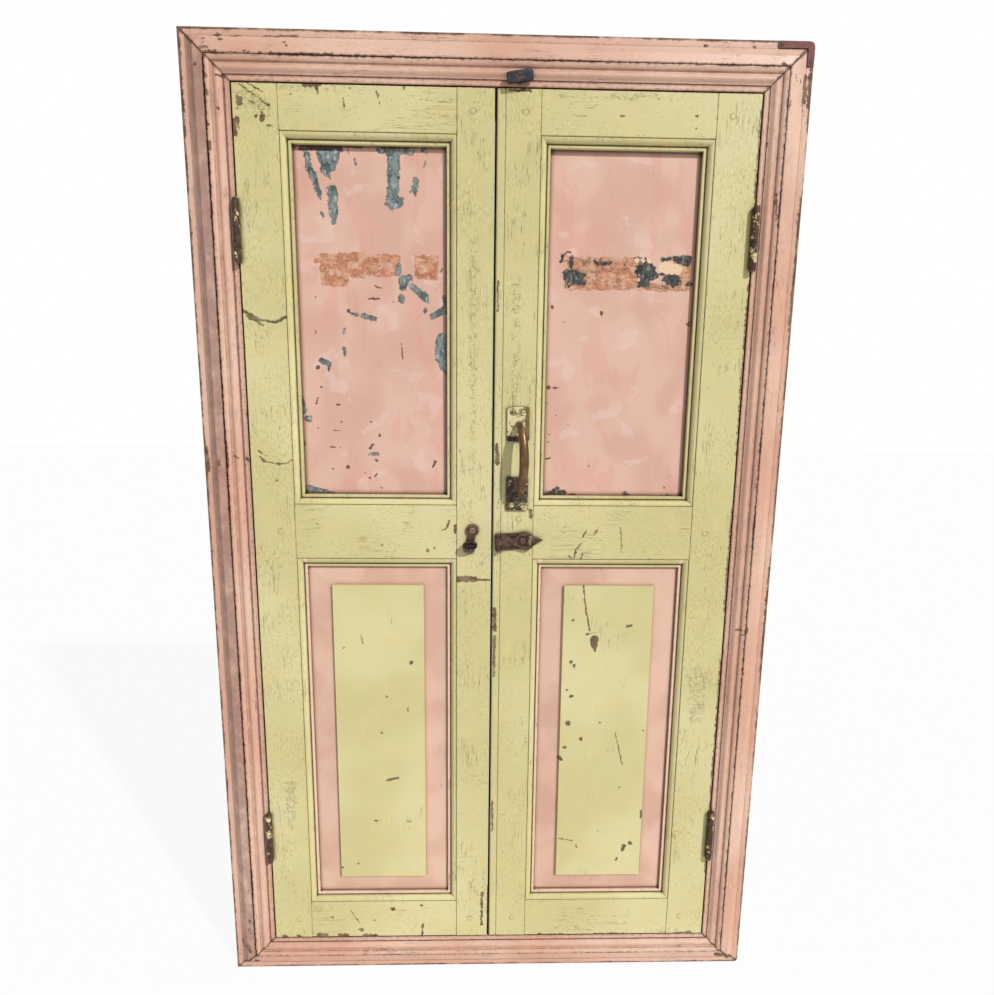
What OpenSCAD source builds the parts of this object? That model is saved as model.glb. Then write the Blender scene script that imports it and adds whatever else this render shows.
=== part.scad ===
// A wall mirror behind a pair of panelled shutter doors in a moulded frame.
//
// Everything is drawn lying on its back, as on a bench: x runs to the right, y up
// the mirror from the middle of its height, and z out from the wall to the room.
// hung() then stands it up: +X right, +Z up, the front faces -Y, and the origin is
// on the wall plane midway between the two hanging holes. Sizes are millimetres.

/* [Frame] */
// Width over the outer mouldings
frame_w = 640; // [600:1:800]
// Height over the outer mouldings
frame_h = 1080; // [1000:1:1300]
// Width of the frame's face, from its outer edge to the door opening
face_w = 53; // [50:0.5:60]
// Depth from the wall to the faces of the doors
frame_depth = 66; // [64:0.5:76]
// How far the frame members' outer sides stand in from the moulding's edge
side_inset = 5; // [2:0.5:8]
// How far the door stop reaches into the opening
stop_w = 12; // [9:0.5:16]
// Height of the frame's bead above the door faces
ridge_rise = 3.5; // [2:0.1:3.8]
// Width of the bead on the frame
ridge_w = 5.5; // [4:0.5:7]
// Width of the hollow beside the bead
ridge_hollow_w = 2.4; // [1.6:0.2:3]
// Width of the swell between that hollow and the top of the slope
swell_w = 2.8; // [2:0.2:4]
// Height of the swell above the door faces
swell_rise = 2.2; // [1.6:0.1:2.8]
// Width of the flat strip beside the doors
strip_w = 5; // [3:0.5:7]
// Depth of the slope's lowest point below the door faces
cove_drop = 0.6; // [0.2:0.1:1.2]
// Width and depth of the quirk grooves that part the mouldings
quirk = 1.4; // [0.8:0.1:2]
// Thickness of the loose tongues inside the frame's mitres
tongue_t = 6; // [4:0.5:8]
// Length of a tongue along its mitre
tongue_long = 50; // [36:1:56]
// Length of a tongue across its mitre
tongue_wide = 30; // [20:1:36]

/* [Outer moulding] */
// Width of the outer moulding
band_w = 28.5; // [25:0.5:30]
// Thickness of the outer moulding at its inner side
band_t = 16; // [14:0.5:18]
// Thickness of the outer moulding at its edge
band_edge_t = 4; // [3:0.5:6]
// Width of the flat fillet round its edge
band_fillet_w = 8; // [6:0.5:9]
// Radius that wear has given the frame's right-hand corners
worn_r = 6; // [3:0.5:7]
// Rise of its hollow slope, from the fillet up to the face
hollow_rise = 9.5; // [7:0.5:10.5]
// Width of its hollow slope
hollow_w = 9.5; // [7:0.5:12]
// How much the slope is hollowed
hollow_bow = 0.6; // [0:0.1:1]

/* [Mirror] */
// Depth from the wall to the face of the mirror
mirror_depth = 22; // [20:0.5:26]
// Thickness of the mirror glass
glass_t = 4; // [3:0.5:5]
// How far the glass lies behind the door stop
glass_lap = 8; // [5:0.5:10]
// Thickness of the backing board
board_t = 6; // [4:0.5:8]
// How far the backing board reaches past the glass
board_lap = 8; // [7:0.5:10]
// Play round the glass and the board in their rebates
glass_play = 1; // [0.5:0.5:2]

/* [Doors] */
// Thickness of the doors
door_t = 24; // [22:0.5:26]
// Gap between a door and the frame
door_gap = 1.5; // [1:0.1:2.5]
// Gap between the two doors
meeting_gap = 2; // [1.6:0.1:3]
// How much the meeting edges are bevelled back towards the mirror
meeting_bevel = 1.5; // [1.2:0.1:2.5]
// Gap between the back of a door and the stop
stop_gap = 0.6; // [0.3:0.1:1.5]
// Width of the hinge stiles
hinge_stile_w = 45; // [40:0.5:56]
// Width of the left door's meeting stile
left_meeting_w = 38; // [34:0.5:46]
// Width of the right door's meeting stile, with its bead
right_meeting_w = 45; // [42:0.5:56]
// Height of the top rails
top_rail_h = 43; // [38:0.5:60]
// Height of the lock rails
lock_rail_h = 61; // [54:0.5:76]
// Height of the bottom rails
bottom_rail_h = 49; // [40:0.5:70]
// Height of the lower panel openings
lower_opening_h = 437; // [380:1:480]
// Chamfer on the front arrises of stiles and rails
arris = 0.5; // [0.2:0.1:0.8]
// Width of the bead strip on the right door's meeting edge
bead_w = 9; // [7:0.5:11]
// Thickness of the bead strip
bead_t = 12; // [8:0.5:14]

/* [Door joints] */
// Thickness of the tenons
tenon_t = 8; // [6:0.5:9]
// Length of the tenons
tenon_len = 28; // [20:0.5:30]
// Shoulder above and below each tenon
tenon_shoulder = 10; // [9:0.5:14]
// Clear space past the end of a tenon in its mortise
mortise_play = 0.5; // [0.2:0.1:1]
// Diameter of the pegs through the tenons
peg_d = 6; // [4:0.5:8]
// How far a peg stands in from the tenon's shoulder
peg_in = 16; // [10:0.5:18]
// How far the pegs stand proud of the door's face
peg_proud = 0.4; // [0:0.1:1]

/* [Panels] */
// Width of the mitred mouldings round the panels
panel_mould_w = 10.5; // [9.5:0.5:14]
// Width of their round part
panel_round_w = 6.5; // [5:0.5:7]
// Depth of their flat fillet below the door's face
panel_fillet_set = 4.6; // [3.6:0.2:5.6]
// Width and depth of the groove between the round and the fillet
panel_quirk = 1; // [0.6:0.1:1.2]
// Depth of the grooves that hold the panels
groove_depth = 8; // [5:0.5:9]
// Play between a panel's edge and the bottom of its groove
panel_play = 1; // [0.5:0.1:2]
// Thickness of the sheet metal upper panels
tin_t = 1.2; // [0.8:0.1:2]
// Depth of the sheet metal below the door's face
tin_set = 10; // [8:0.5:12]
// Thickness of the tongue round the wooden lower panels
tongue_edge_t = 6; // [5:0.5:7]
// Depth of the wooden panel's flat margin below the door's face
margin_set = 8; // [7.6:0.2:9]
// Depth of the raised field below the door's face
field_set = 3; // [2:0.5:3.5]
// Height of the step round the raised field
field_step = 3; // [1:0.5:3.5]
// Width of the sloping margin beside the raised field
field_margin_x = 26.5; // [18:0.5:32]
// Width of the sloping margin above and below the raised field
field_margin_z = 21.5; // [18:0.5:32]

/* [Hinges] */
// Length of the butt hinges
hinge_len = 62; // [50:1:76]
// Distance from a door's end to the middle of its hinge
hinge_from_end = 139.5; // [110:0.5:180]
// Width of each hinge leaf
hinge_leaf_w = 18; // [14:0.5:20]
// Thickness of the hinge leaves
hinge_leaf_t = 1.5; // [1:0.1:2]
// Diameter of the hinge knuckles
knuckle_d = 7; // [6:0.2:7.6]
// Diameter of the hinge pins
hinge_pin_d = 3; // [2.4:0.1:4]
// Height of the hinge pins above the door's face
pin_rise = 3.9; // [3.8:0.1:5]
// Gap between neighbouring knuckles
knuckle_play = 0.3; // [0.2:0.1:0.6]

/* [Fits] */
// Clearance round every pin in its bore
pin_play = 0.05; // [0.02:0.01:0.1]
// Clearance round screws, pegs and tongues in their holes
screw_play = 0.05; // [0.02:0.01:0.2]

/* [Pull handle] */
// Length of the pull handle over its two plates
handle_len = 113.5; // [100:0.5:130]
// Width of its plates
handle_plate_w = 24; // [20:0.5:28]
// Length of each plate
handle_plate_len = 37; // [30:0.5:44]
// Thickness of its plates
handle_plate_t = 2.4; // [1.6:0.2:4]
// How far the grip stands out from the door
grip_rise = 27; // [20:0.5:34]
// Thickness of the grip at its feet
grip_end_d = 6; // [5:0.5:8]
// Thickness of the grip in the middle
grip_mid_d = 10.5; // [8:0.5:13]
// How far the grip leans sideways in the middle
grip_lean = 6; // [0:0.5:8]
// Distance of the handle's middle from the meeting edge
handle_in = 26.5; // [23:0.5:28]
// Height of the handle's middle above the lock rail
handle_up = 52; // [50:0.5:70]

/* [Hasp] */
// Lean of the hasp, its right end upwards
hasp_lean = 4; // [0:0.5:5]
// Distance of the hasp's pin from the right door's meeting edge
hasp_pin_in = 6; // [5.4:0.1:7]
// Height of the hasp's pin above the bottom of the lock rail
hasp_up = 19.5; // [16:0.5:22]
// Length of the fixed leaf from the pin
hasp_leaf_len = 34.5; // [32:0.5:42]
// Height of the fixed leaf and of the knuckles
hasp_h = 18.5; // [16:0.5:22]
// Thickness of the fixed leaf, the strap and the staple plate
hasp_t = 2; // [1.5:0.1:2.2]
// Diameter of the hasp's knuckles
hasp_knuckle_d = 6.4; // [5.6:0.2:6.6]
// Diameter of the hasp's pin
hasp_pin_d = 2.6; // [2:0.1:3]
// Distance from the pin to the middle of the strap's slot
strap_reach = 31; // [30.4:0.1:32]
// Distance from the pin to the strap's tip
strap_len = 51; // [48:0.5:54]
// Radius of the strap's round body
strap_r = 10.4; // [10:0.1:11]
// Length of the slot in the strap
slot_len = 19; // [19:0.1:20]
// Height of the slot in the strap
slot_h = 12.4; // [12:0.1:13]

/* [Staple and knob] */
// Height of the staple plate above the middle of the knob
staple_up = 23; // [21:0.5:24]
// Depth of the staple plate below the middle of the knob
staple_down = 11.5; // [11:0.5:16]
// Width of the staple plate's upper lobe
staple_lobe = 14.5; // [12:0.5:15]
// Width of the staple plate round the knob
staple_w = 12.5; // [12:0.5:14]
// Lean of the staple plate, its top to the right
staple_lean = 9; // [0:0.5:9]
// Outside diameter of the neck that carries the knob
neck_d = 8.4; // [7.6:0.2:9.4]
// Length of the oval knob
knob_len = 16.6; // [15:0.2:16.8]
// Width of the oval knob
knob_w = 9.8; // [9:0.2:10.4]
// Thickness of the oval knob
knob_t = 5.6; // [4:0.2:6]
// Diameter of the knob's spindle
spindle_d = 4; // [3:0.1:4.6]

/* [Turn button] */
// Length of the turn button
button_len = 27; // [22:0.5:30]
// Height of the turn button
button_h = 10.5; // [8:0.5:11]
// Thickness of the turn button
button_t = 4; // [3:0.5:6]
// Distance of the turn button's screw from the opening's top edge
button_up = 7.6; // [7.6:0.1:9]
// Distance of the turn button from the middle of the frame
button_x = 20; // [0:1:40]
// Tilt of the turn button, its right end upwards
button_tilt = 8; // [0:0.5:9]

/* [Hanging and brace] */
// Distance from the top edge down to the hanging holes
hanger_drop = 90; // [80:1:140]
// Diameter of the hanging holes
hanger_hole_d = 7; // [5:0.5:9]
// Length of the steel hanging plates
hanger_len = 60; // [50:1:80]
// Width of the steel hanging plates
hanger_w = 22; // [18:0.5:26]
// Thickness of the steel hanging plates
hanger_t = 2.5; // [2:0.5:4]
// Length of the corner brace along the top
brace_top = 37; // [28:1:50]
// Length of the corner brace down the side
brace_side = 23; // [20:1:50]
// Width of the corner brace
brace_w = 6.6; // [5:0.2:7]
// Thickness of the corner brace
brace_t = 1.5; // [1:0.1:2]

/* [Hidden] */
$fn = 48;

// Colours, as the painted wood and the metals show
PINK = [0.86, 0.66, 0.58];
GREEN = [0.83, 0.82, 0.58];
TIN = [0.80, 0.62, 0.56];
BARE_WOOD = [0.55, 0.42, 0.30];
IRON = [0.24, 0.17, 0.15];
STEEL = [0.45, 0.43, 0.42];
BLACK = [0.13, 0.13, 0.14];
RED_IRON = [0.36, 0.14, 0.13];
SILVER = [0.80, 0.85, 0.88];

// Numbers of a side round a frame: each turns the top side clockwise
TOP = 0;
RIGHT = 1;
BOTTOM = 2;
LEFT = 3;
// The two doors, as the sign of their side
LEFT_DOOR = -1;
RIGHT_DOOR = 1;
EPS = 0.01;

// Levels above the wall
face_z = frame_depth;
band_seat_z = face_z - band_t;
band_edge_z = band_seat_z + band_edge_t;
door_back_z = face_z - door_t;
stop_z = door_back_z - stop_gap;
ridge_z = face_z + ridge_rise;
glass_back_z = mirror_depth - glass_t;
board_back_z = glass_back_z - board_t;

// The door opening and the rebates behind it, measured from the outer edge
open_w = frame_w - 2 * face_w;
open_h = frame_h - 2 * face_w;
stop_u = face_w + stop_w;
glass_u = stop_u - glass_lap;
board_u = glass_u - board_lap;
mid_z = hanger_drop - frame_h / 2;

// The doors: x runs from the hinge edge to the meeting edge of a door
door_h = open_h - 2 * door_gap;
doors_w = open_w - 2 * door_gap - meeting_gap;
panel_w = (doors_w - left_meeting_w - right_meeting_w) / 2 - hinge_stile_w;
panel_x0 = hinge_stile_w;
panel_x1 = hinge_stile_w + panel_w;
top_y = door_h / 2;
lower_y0 = -top_y + bottom_rail_h;
lower_y1 = lower_y0 + lower_opening_h;
upper_y0 = lower_y1 + lock_rail_h;
upper_y1 = top_y - top_rail_h;
RAILS = [[-top_y, lower_y0], [lower_y1, upper_y0], [upper_y1, top_y]];
function meeting_w(door) = door == LEFT_DOOR ? left_meeting_w : right_meeting_w;
function door_w(door) = panel_x1 + meeting_w(door);
bead_z = face_z - bead_t;
tin_z = face_z - tin_set;
margin_z = face_z - margin_set;
field_z = face_z - field_set;
tenon_z0 = door_back_z + (door_t - tenon_t) / 2;

// Hinges: the pin stands over the middle of the gap, proud of the door
pin_x = -door_gap / 2;
pin_z = face_z + pin_rise;
hinge_y = top_y - hinge_from_end;
KNUCKLES = 5;
HINGE_SCREWS = 3;
hinge_screw_d = 3.2;
hinge_screw_head = 6;
hinge_screw_len = 15;
hinge_screw_pitch = hinge_len / HINGE_SCREWS;
hinge_screw_z = face_z - hinge_leaf_w / 2;

// Hasp: its own x runs away from the pin towards the hinge side of the right door
hasp_x = open_w / 2 - door_gap - door_w(RIGHT_DOOR) + hasp_pin_in;
hasp_y = lower_y1 + hasp_up;
hasp_pin_z = face_z + hasp_knuckle_d / 2 + 0.2;
strap_z0 = hasp_pin_z - hasp_t / 2;
HASP_KNUCKLES = 3;
hasp_screw_d = 2.6;
hasp_screw_head = 5.4;
// Its screws stop short of the lock rails' tenons.
hasp_screw_len = face_z + hasp_t - tenon_z0 - tenon_t - 0.6;
knob_z0 = strap_z0 + hasp_t + 0.6;
neck_gap = 0.2;
collar_d = spindle_d + 3;
collar_t = 1.2;

// Turn button: its underside clears the frame's bead
button_y = open_h / 2 + button_up;
button_z0 = ridge_z + 0.4;
button_screw_d = 4;

// ---------------------------------------------------------------- shared shapes

// Stands the bench drawing up against the wall.
module hung() {
  translate([0, 0, mid_z]) rotate([90, 0, 0]) children();
}

// Puts a door's drawing in its place: the right door mirrors the left one.
module on_door(door) {
  mirror([door == RIGHT_DOOR ? 1 : 0, 0, 0])
    translate([-open_w / 2 + door_gap, 0, 0]) children();
}

// A box given by its low and high corners.
module box(low, high) {
  translate(low) cube(high - low);
}

// One mitred side of a ring of moulding round a w by h rectangle. A profile point
// is [distance in from the rectangle's edge, level].
module ring_side(side, w, h, profile, reach) {
  across = side % 2 == 0;
  long = across ? w : h;
  rotate([0, 0, -90 * side]) translate([0, (across ? h : w) / 2, 0])
    intersection() {
      rotate([90, 0, 90]) linear_extrude(height = long, center = true)
        polygon([for (p = profile) [-p[0], p[1]]]);
      linear_extrude(height = 3 * frame_depth, center = true)
        polygon([[-long / 2, 0], [long / 2, 0], [long / 2 - reach, -reach], [-long / 2 + reach, -reach]]);
    }
}

// A whole ring of moulding round a w by h rectangle, mitred at its corners, in one
// piece. Its profile is that of a mitred side.
module ring(w, h, profile) {
  n = len(profile);
  corners = [[-1, 1], [1, 1], [1, -1], [-1, -1]];
  polyhedron(
    points = [for (p = profile, c = corners) [c[0] * (w / 2 - p[0]), c[1] * (h / 2 - p[0]), p[1]]],
    faces = [for (i = [0 : n - 1], k = [0 : 3])
      [4 * i + k, 4 * i + (k + 1) % 4, 4 * ((i + 1) % n) + (k + 1) % 4, 4 * ((i + 1) % n) + k]]);
}

// Points of an S-shaped slope from a to b, level at both ends.
function slope(a, b, steps) = [for (i = [0 : steps]) let (t = i / steps)
  [a[0] + (b[0] - a[0]) * t, a[1] + (b[1] - a[1]) * (1 - cos(180 * t)) / 2]];

// Points of a quarter ellipse that leaves a level and reaches b steeply.
function quarter(a, b, steps) = [for (i = [0 : steps]) let (t = 90 * i / steps)
  [a[0] + (b[0] - a[0]) * sin(t), a[1] + (b[1] - a[1]) * (1 - cos(t))]];

// Points of a line from a to b that is hollowed by bow in its middle.
function hollowed(a, b, bow, steps) = [for (i = [0 : steps]) let (t = i / steps)
  a + (b - a) * t - [0, 4 * bow * t * (1 - t)]];

// Points of an arc about c.
function arc(c, r, from, to, steps) = [for (i = [0 : steps]) let (a = from + (to - from) * i / steps)
  [c[0] + r * cos(a), c[1] + r * sin(a)]];

// A countersunk screw, its head flush at z = 0 and its point down, with a drive slot.
module screw(head_d, shank_d, long) {
  head_h = (head_d - shank_d) / 2;
  difference() {
    union() {
      translate([0, 0, -head_h]) cylinder(h = head_h, d1 = shank_d, d2 = head_d);
      translate([0, 0, -long]) cylinder(h = long - head_h / 2, d = shank_d);
    }
    box([-head_d, -head_d / 12, -head_h / 2], [head_d, head_d / 12, 1]);
  }
}

// The hole that such a screw goes into.
module screw_hole(head_d, shank_d, long) {
  head_h = (head_d - shank_d) / 2;
  translate([0, 0, -head_h]) cylinder(h = head_h, d1 = shank_d + 2 * screw_play, d2 = head_d + 2 * screw_play);
  translate([0, 0, -EPS]) cylinder(h = 1, d = head_d + 2 * screw_play);
  translate([0, 0, -long - 0.5]) cylinder(h = long + 0.5, d = shank_d + 2 * screw_play);
}

// ---------------------------------------------------------------- frame members

// Where the frame's bead, and the swell past the hollow beside it, end.
ridge_u = band_w + quirk + ridge_w;
swell_u = ridge_u + ridge_hollow_w + swell_w;
hollow_z = face_z + 0.8;

// Section of a frame member, from its outer side round the front to the back.
member_profile = concat(
  [[side_inset, 0], [side_inset, band_seat_z], [band_w, band_seat_z],
   [band_w, face_z - 3 * quirk], [band_w + quirk, face_z - 3 * quirk]],
  arc([band_w + quirk + 1, ridge_z - 1], 1, 180, 90, 4),
  quarter([band_w + quirk + 1.6, ridge_z], [ridge_u, hollow_z], 5),
  slope([ridge_u + ridge_hollow_w / 2, hollow_z - 0.2], [swell_u, face_z + swell_rise], 6),
  slope([swell_u + 0.5, face_z + swell_rise], [face_w - strip_w - quirk, face_z - cove_drop], 8),
  [[face_w - strip_w - quirk, face_z - quirk], [face_w - strip_w, face_z - quirk],
   [face_w - strip_w, face_z - 0.4], [face_w - strip_w + 0.4, face_z]],
  arc([face_w - 1, face_z - 1], 1, 90, 0, 4),
  [[face_w, stop_z], [stop_u - arris, stop_z], [stop_u, stop_z - arris],
   [stop_u, mirror_depth], [glass_u, mirror_depth], [glass_u, glass_back_z],
   [board_u, glass_back_z], [board_u, 0]]
);

hollow_top_z = band_edge_z + hollow_rise;

// Section of the outer moulding: fillet, hollow, and a face that slopes outwards.
band_profile = concat(
  [[0, band_seat_z], [0, band_edge_z - 0.8], [0.8, band_edge_z], [band_fillet_w, band_edge_z],
   [band_fillet_w, band_edge_z + 0.6]],
  hollowed([band_fillet_w + 0.3, band_edge_z + 0.6], [band_fillet_w + hollow_w, hollow_top_z], hollow_bow, 6),
  [[band_fillet_w + hollow_w + 0.5, hollow_top_z + 0.3], [band_w - 1.2, face_z - 0.1],
   [band_w - 0.3, face_z - 0.3]],
  [[band_w, face_z - 1], [band_w, band_seat_z]]
);

hinge_side_x = frame_w / 2 - face_w;

// Where the four hinges stand: repeats its children at both heights.
module at_hinges() {
  for (s = [-1, 1]) translate([0, s * hinge_y, 0]) children();
}

// A frame leaf's recess and its screw holes, in a door's own place.
module frame_leaf_seat() {
  translate([-door_gap, 0, 0]) {
    box([-hinge_leaf_t, -hinge_len / 2, face_z - hinge_leaf_w], [1, hinge_len / 2, ridge_z + 1]);
    hinge_screw_places() rotate([0, 90, 0]) screw_hole(hinge_screw_head, hinge_screw_d, hinge_screw_len);
  }
}

// Repeats its children at the screws of one hinge leaf.
module hinge_screw_places() {
  for (i = [0 : HINGE_SCREWS - 1])
    translate([0, (i - (HINGE_SCREWS - 1) / 2) * hinge_screw_pitch, hinge_screw_z]) children();
}

// The middle of a corner's mitre, repeated at the four corners.
module at_corners() {
  for (sx = [-1, 1], sy = [-1, 1])
    translate([sx * (frame_w / 2 - tongue_at), sy * (frame_h / 2 - tongue_at), tongue_z0])
      rotate([0, 0, 45 * sx * sy]) children();
}
tongue_at = (side_inset + stop_u) / 2;
tongue_z0 = (mirror_depth + stop_z - tongue_t) / 2;

module tongue_block(play) {
  box([-tongue_long / 2 - play, -tongue_wide / 2 - play, -play],
      [tongue_long / 2 + play, tongue_wide / 2 + play, tongue_t + play]);
}

// Screws of the backing board: [x, y] places round its edge.
board_line = board_u + board_lap / 2;
BOARD_SCREWS_ACROSS = 3;
BOARD_SCREWS_UP = 4;
board_screw_d = 3;
board_screw_head = 6;
board_screw_len = 20;
board_places = concat(
  [for (i = [0 : BOARD_SCREWS_ACROSS - 1], s = [-1, 1])
    [(i - (BOARD_SCREWS_ACROSS - 1) / 2) * open_w / BOARD_SCREWS_ACROSS, s * (frame_h / 2 - board_line)]],
  [for (i = [0 : BOARD_SCREWS_UP - 1], s = [-1, 1])
    [s * (frame_w / 2 - board_line), (i - (BOARD_SCREWS_UP - 1) / 2) * open_h / BOARD_SCREWS_UP]]
);

// A screw's place seen from the back: z points to the wall.
module from_back(level) {
  translate([0, 0, level]) mirror([0, 0, 1]) children();
}

hanger_x = frame_w / 2 - (side_inset + board_u) / 2;
hanger_y = frame_h / 2 - hanger_drop;
hanger_screw_d = 3.5;
hanger_screw_head = 7;
hanger_screw_len = 25;
hanger_pocket_d = hanger_hole_d + 8;
hanger_pocket_deep = 16;

module hanger_screw_places() {
  for (s = [-1, 1]) translate([0, s * (hanger_len / 2 - hanger_screw_head), 0]) children();
}

// The recess, pocket and screw holes of both hanging plates.
module hanger_seats() {
  for (s = [-1, 1]) translate([s * hanger_x, hanger_y, 0]) {
    box([-hanger_w / 2, -hanger_len / 2, -1], [hanger_w / 2, hanger_len / 2, hanger_t]);
    cylinder(h = hanger_t + hanger_pocket_deep, d = hanger_pocket_d);
    hanger_screw_places() from_back(0) screw_hole(hanger_screw_head, hanger_screw_d, hanger_screw_len);
  }
}

module frame_member(side) {
  color(PINK) hung() difference() {
    ring_side(side, frame_w, frame_h, member_profile, stop_u + 1);
    at_corners() tongue_block(screw_play);
    for (p = board_places) translate([p[0], p[1], 0])
      from_back(board_back_z) screw_hole(board_screw_head, board_screw_d, board_screw_len);
    if (side % 2 == 1) {
      hanger_seats();
      on_door(side == LEFT ? LEFT_DOOR : RIGHT_DOOR) at_hinges() frame_leaf_seat();
    }
    if (side == TOP) at_button() {
      translate([0, 0, boss_z - button_z0]) cylinder(h = frame_depth, d = boss_d + 1);
      button_screw_hole();
    }
  }
}

module jamb_left() { frame_member(LEFT); }
module jamb_right() { frame_member(RIGHT); }
module frame_head() { frame_member(TOP); }
module frame_sill() { frame_member(BOTTOM); }

module corner_tongues() {
  color(BARE_WOOD) hung() at_corners() tongue_block(0);
}

// What wear has taken off a corner: the outside of a round of radius worn_r.
module corner_notch() {
  translate([-worn_r, -worn_r, 0]) difference() {
    box([0, 0, -frame_depth], [worn_r + 1, worn_r + 1, frame_depth]);
    cylinder(h = 3 * frame_depth, r = worn_r, center = true);
  }
}

module worn_corners() {
  for (turned = [0, 1]) mirror([0, turned, 0])
    translate([frame_w / 2, frame_h / 2, face_z]) corner_notch();
}

module outer_moulding(side) {
  color(PINK) hung() difference() {
    ring_side(side, frame_w, frame_h, band_profile, band_w + 1);
    brace_nail_places() brace_nail_hole();
    worn_corners();
  }
}
module outer_moulding_left() { outer_moulding(LEFT); }
module outer_moulding_right() { outer_moulding(RIGHT); }
module outer_moulding_top() { outer_moulding(TOP); }
module outer_moulding_bottom() { outer_moulding(BOTTOM); }

// ---------------------------------------------------------------- mirror

module mirror_glass() {
  w = frame_w - 2 * (glass_u + glass_play);
  h = frame_h - 2 * (glass_u + glass_play);
  color(SILVER) hung() box([-w / 2, -h / 2, glass_back_z], [w / 2, h / 2, mirror_depth]);
}

module backing_board() {
  w = frame_w - 2 * (board_u + glass_play);
  h = frame_h - 2 * (board_u + glass_play);
  color(BARE_WOOD) hung() difference() {
    box([-w / 2, -h / 2, board_back_z], [w / 2, h / 2, glass_back_z]);
    for (p = board_places) translate([p[0], p[1], 0])
      from_back(board_back_z) screw_hole(board_screw_head, board_screw_d, board_screw_len);
  }
}

module backing_screws() {
  color(STEEL) hung() for (p = board_places) translate([p[0], p[1], 0])
    from_back(board_back_z) screw(board_screw_head, board_screw_d, board_screw_len);
}

module hanger_plates() {
  color(STEEL) hung() for (s = [-1, 1]) translate([s * hanger_x, hanger_y, 0]) difference() {
    box([-hanger_w / 2, -hanger_len / 2, 0], [hanger_w / 2, hanger_len / 2, hanger_t]);
    translate([0, 0, -1]) cylinder(h = hanger_t + 2, d = hanger_hole_d);
    hanger_screw_places() from_back(0) screw_hole(hanger_screw_head, hanger_screw_d, hanger_screw_len);
  }
}

module hanger_screws() {
  color(STEEL) hung() for (s = [-1, 1]) translate([s * hanger_x, hanger_y, 0])
    hanger_screw_places() from_back(0) screw(hanger_screw_head, hanger_screw_d, hanger_screw_len);
}

// ---------------------------------------------------------------- corner brace

brace_nail_d = 1.6;
brace_nail_head_d = 4;
brace_nail_len = brace_t + band_edge_t - 0.8;

// The brace's outer corner sits this far in from the moulding's edges.
brace_in = 0.8;

module brace_corner() {
  translate([frame_w / 2 - brace_in, frame_h / 2 - brace_in, band_edge_z]) children();
}

module brace_nail_places() {
  brace_corner() {
    translate([-brace_top + brace_w / 2, -brace_w / 2, brace_t]) children();
    translate([-brace_w / 2, -brace_side + brace_w / 2, brace_t]) children();
  }
}

module brace_nail_hole() {
  translate([0, 0, -brace_nail_len - 0.3]) cylinder(h = brace_nail_len + 1, d = brace_nail_d + 2 * screw_play);
}

module corner_brace() {
  color(RED_IRON) hung() difference() {
    brace_corner() linear_extrude(height = brace_t)
      polygon([[0, 0], [-brace_top, 0], [-brace_top, -brace_w], [-brace_w, -brace_w],
               [-brace_w, -brace_side], [0, -brace_side]]);
    brace_nail_places() brace_nail_hole();
    brace_corner() corner_notch();
  }
}

module corner_brace_nails() {
  color(IRON) hung() brace_nail_places() {
    translate([0, 0, -brace_nail_len]) cylinder(h = brace_nail_len, d = brace_nail_d);
    cylinder(h = 0.8, d1 = brace_nail_head_d, d2 = brace_nail_head_d * 0.6);
  }
}

// ---------------------------------------------------------------- hinges

// Repeats its children over the knuckles of one leaf: every other one of the five.
module knuckle_spans(first) {
  step = hinge_len / KNUCKLES;
  for (i = [first : 2 : KNUCKLES - 1])
    translate([0, -hinge_len / 2 + i * step + knuckle_play / 2, 0]) scale_span(step - knuckle_play) children();
}
module scale_span(long) {
  $span = long;
  children();
}

// A rod along y from the origin.
module rod(d, long) {
  rotate([-90, 0, 0]) cylinder(h = long, d = d);
}

// One hinge leaf about its pin at the origin. dir is -1 for the frame's leaf and 1
// for the door's leaf.
module hinge_leaf(dir, first) {
  near = dir * door_gap / 2;
  far = near + dir * hinge_leaf_t;
  x0 = min(near, far);
  x1 = max(near, far);
  difference() {
    union() {
      box([x0, -hinge_len / 2, -hinge_leaf_w - pin_rise], [x1, hinge_len / 2, -pin_rise]);
      knuckle_spans(first) {
        rod(knuckle_d, $span);
        box([x0, 0, -pin_rise - EPS], [x1, $span, 0]);
      }
    }
    translate([0, -hinge_len, 0]) rod(hinge_pin_d + 2 * pin_play, 2 * hinge_len);
    translate([near, 0, -pin_z]) hinge_screw_places() rotate([0, -90 * dir, 0])
      screw_hole(hinge_screw_head, hinge_screw_d, hinge_screw_len);
  }
}

module placed_leaf(door, s, dir, first) {
  color(STEEL) hung() on_door(door) translate([pin_x, s * hinge_y, pin_z]) hinge_leaf(dir, first);
}
module upper_left_frame_leaf() { placed_leaf(LEFT_DOOR, 1, -1, 0); }
module lower_left_frame_leaf() { placed_leaf(LEFT_DOOR, -1, -1, 0); }
module upper_right_frame_leaf() { placed_leaf(RIGHT_DOOR, 1, -1, 0); }
module lower_right_frame_leaf() { placed_leaf(RIGHT_DOOR, -1, -1, 0); }
module upper_left_door_leaf() { placed_leaf(LEFT_DOOR, 1, 1, 1); }
module lower_left_door_leaf() { placed_leaf(LEFT_DOOR, -1, 1, 1); }
module upper_right_door_leaf() { placed_leaf(RIGHT_DOOR, 1, 1, 1); }
module lower_right_door_leaf() { placed_leaf(RIGHT_DOOR, -1, 1, 1); }

pin_head_h = 1.2;
module hinge_pins() {
  color(STEEL) hung() for (door = [LEFT_DOOR, RIGHT_DOOR]) on_door(door) at_hinges()
    translate([pin_x, -hinge_len / 2, pin_z]) {
      rod(hinge_pin_d, hinge_len);
      translate([0, -pin_head_h, 0]) rod(knuckle_d - 1, pin_head_h);
      translate([0, hinge_len, 0]) rod(knuckle_d - 1, pin_head_h);
    }
}

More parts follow.
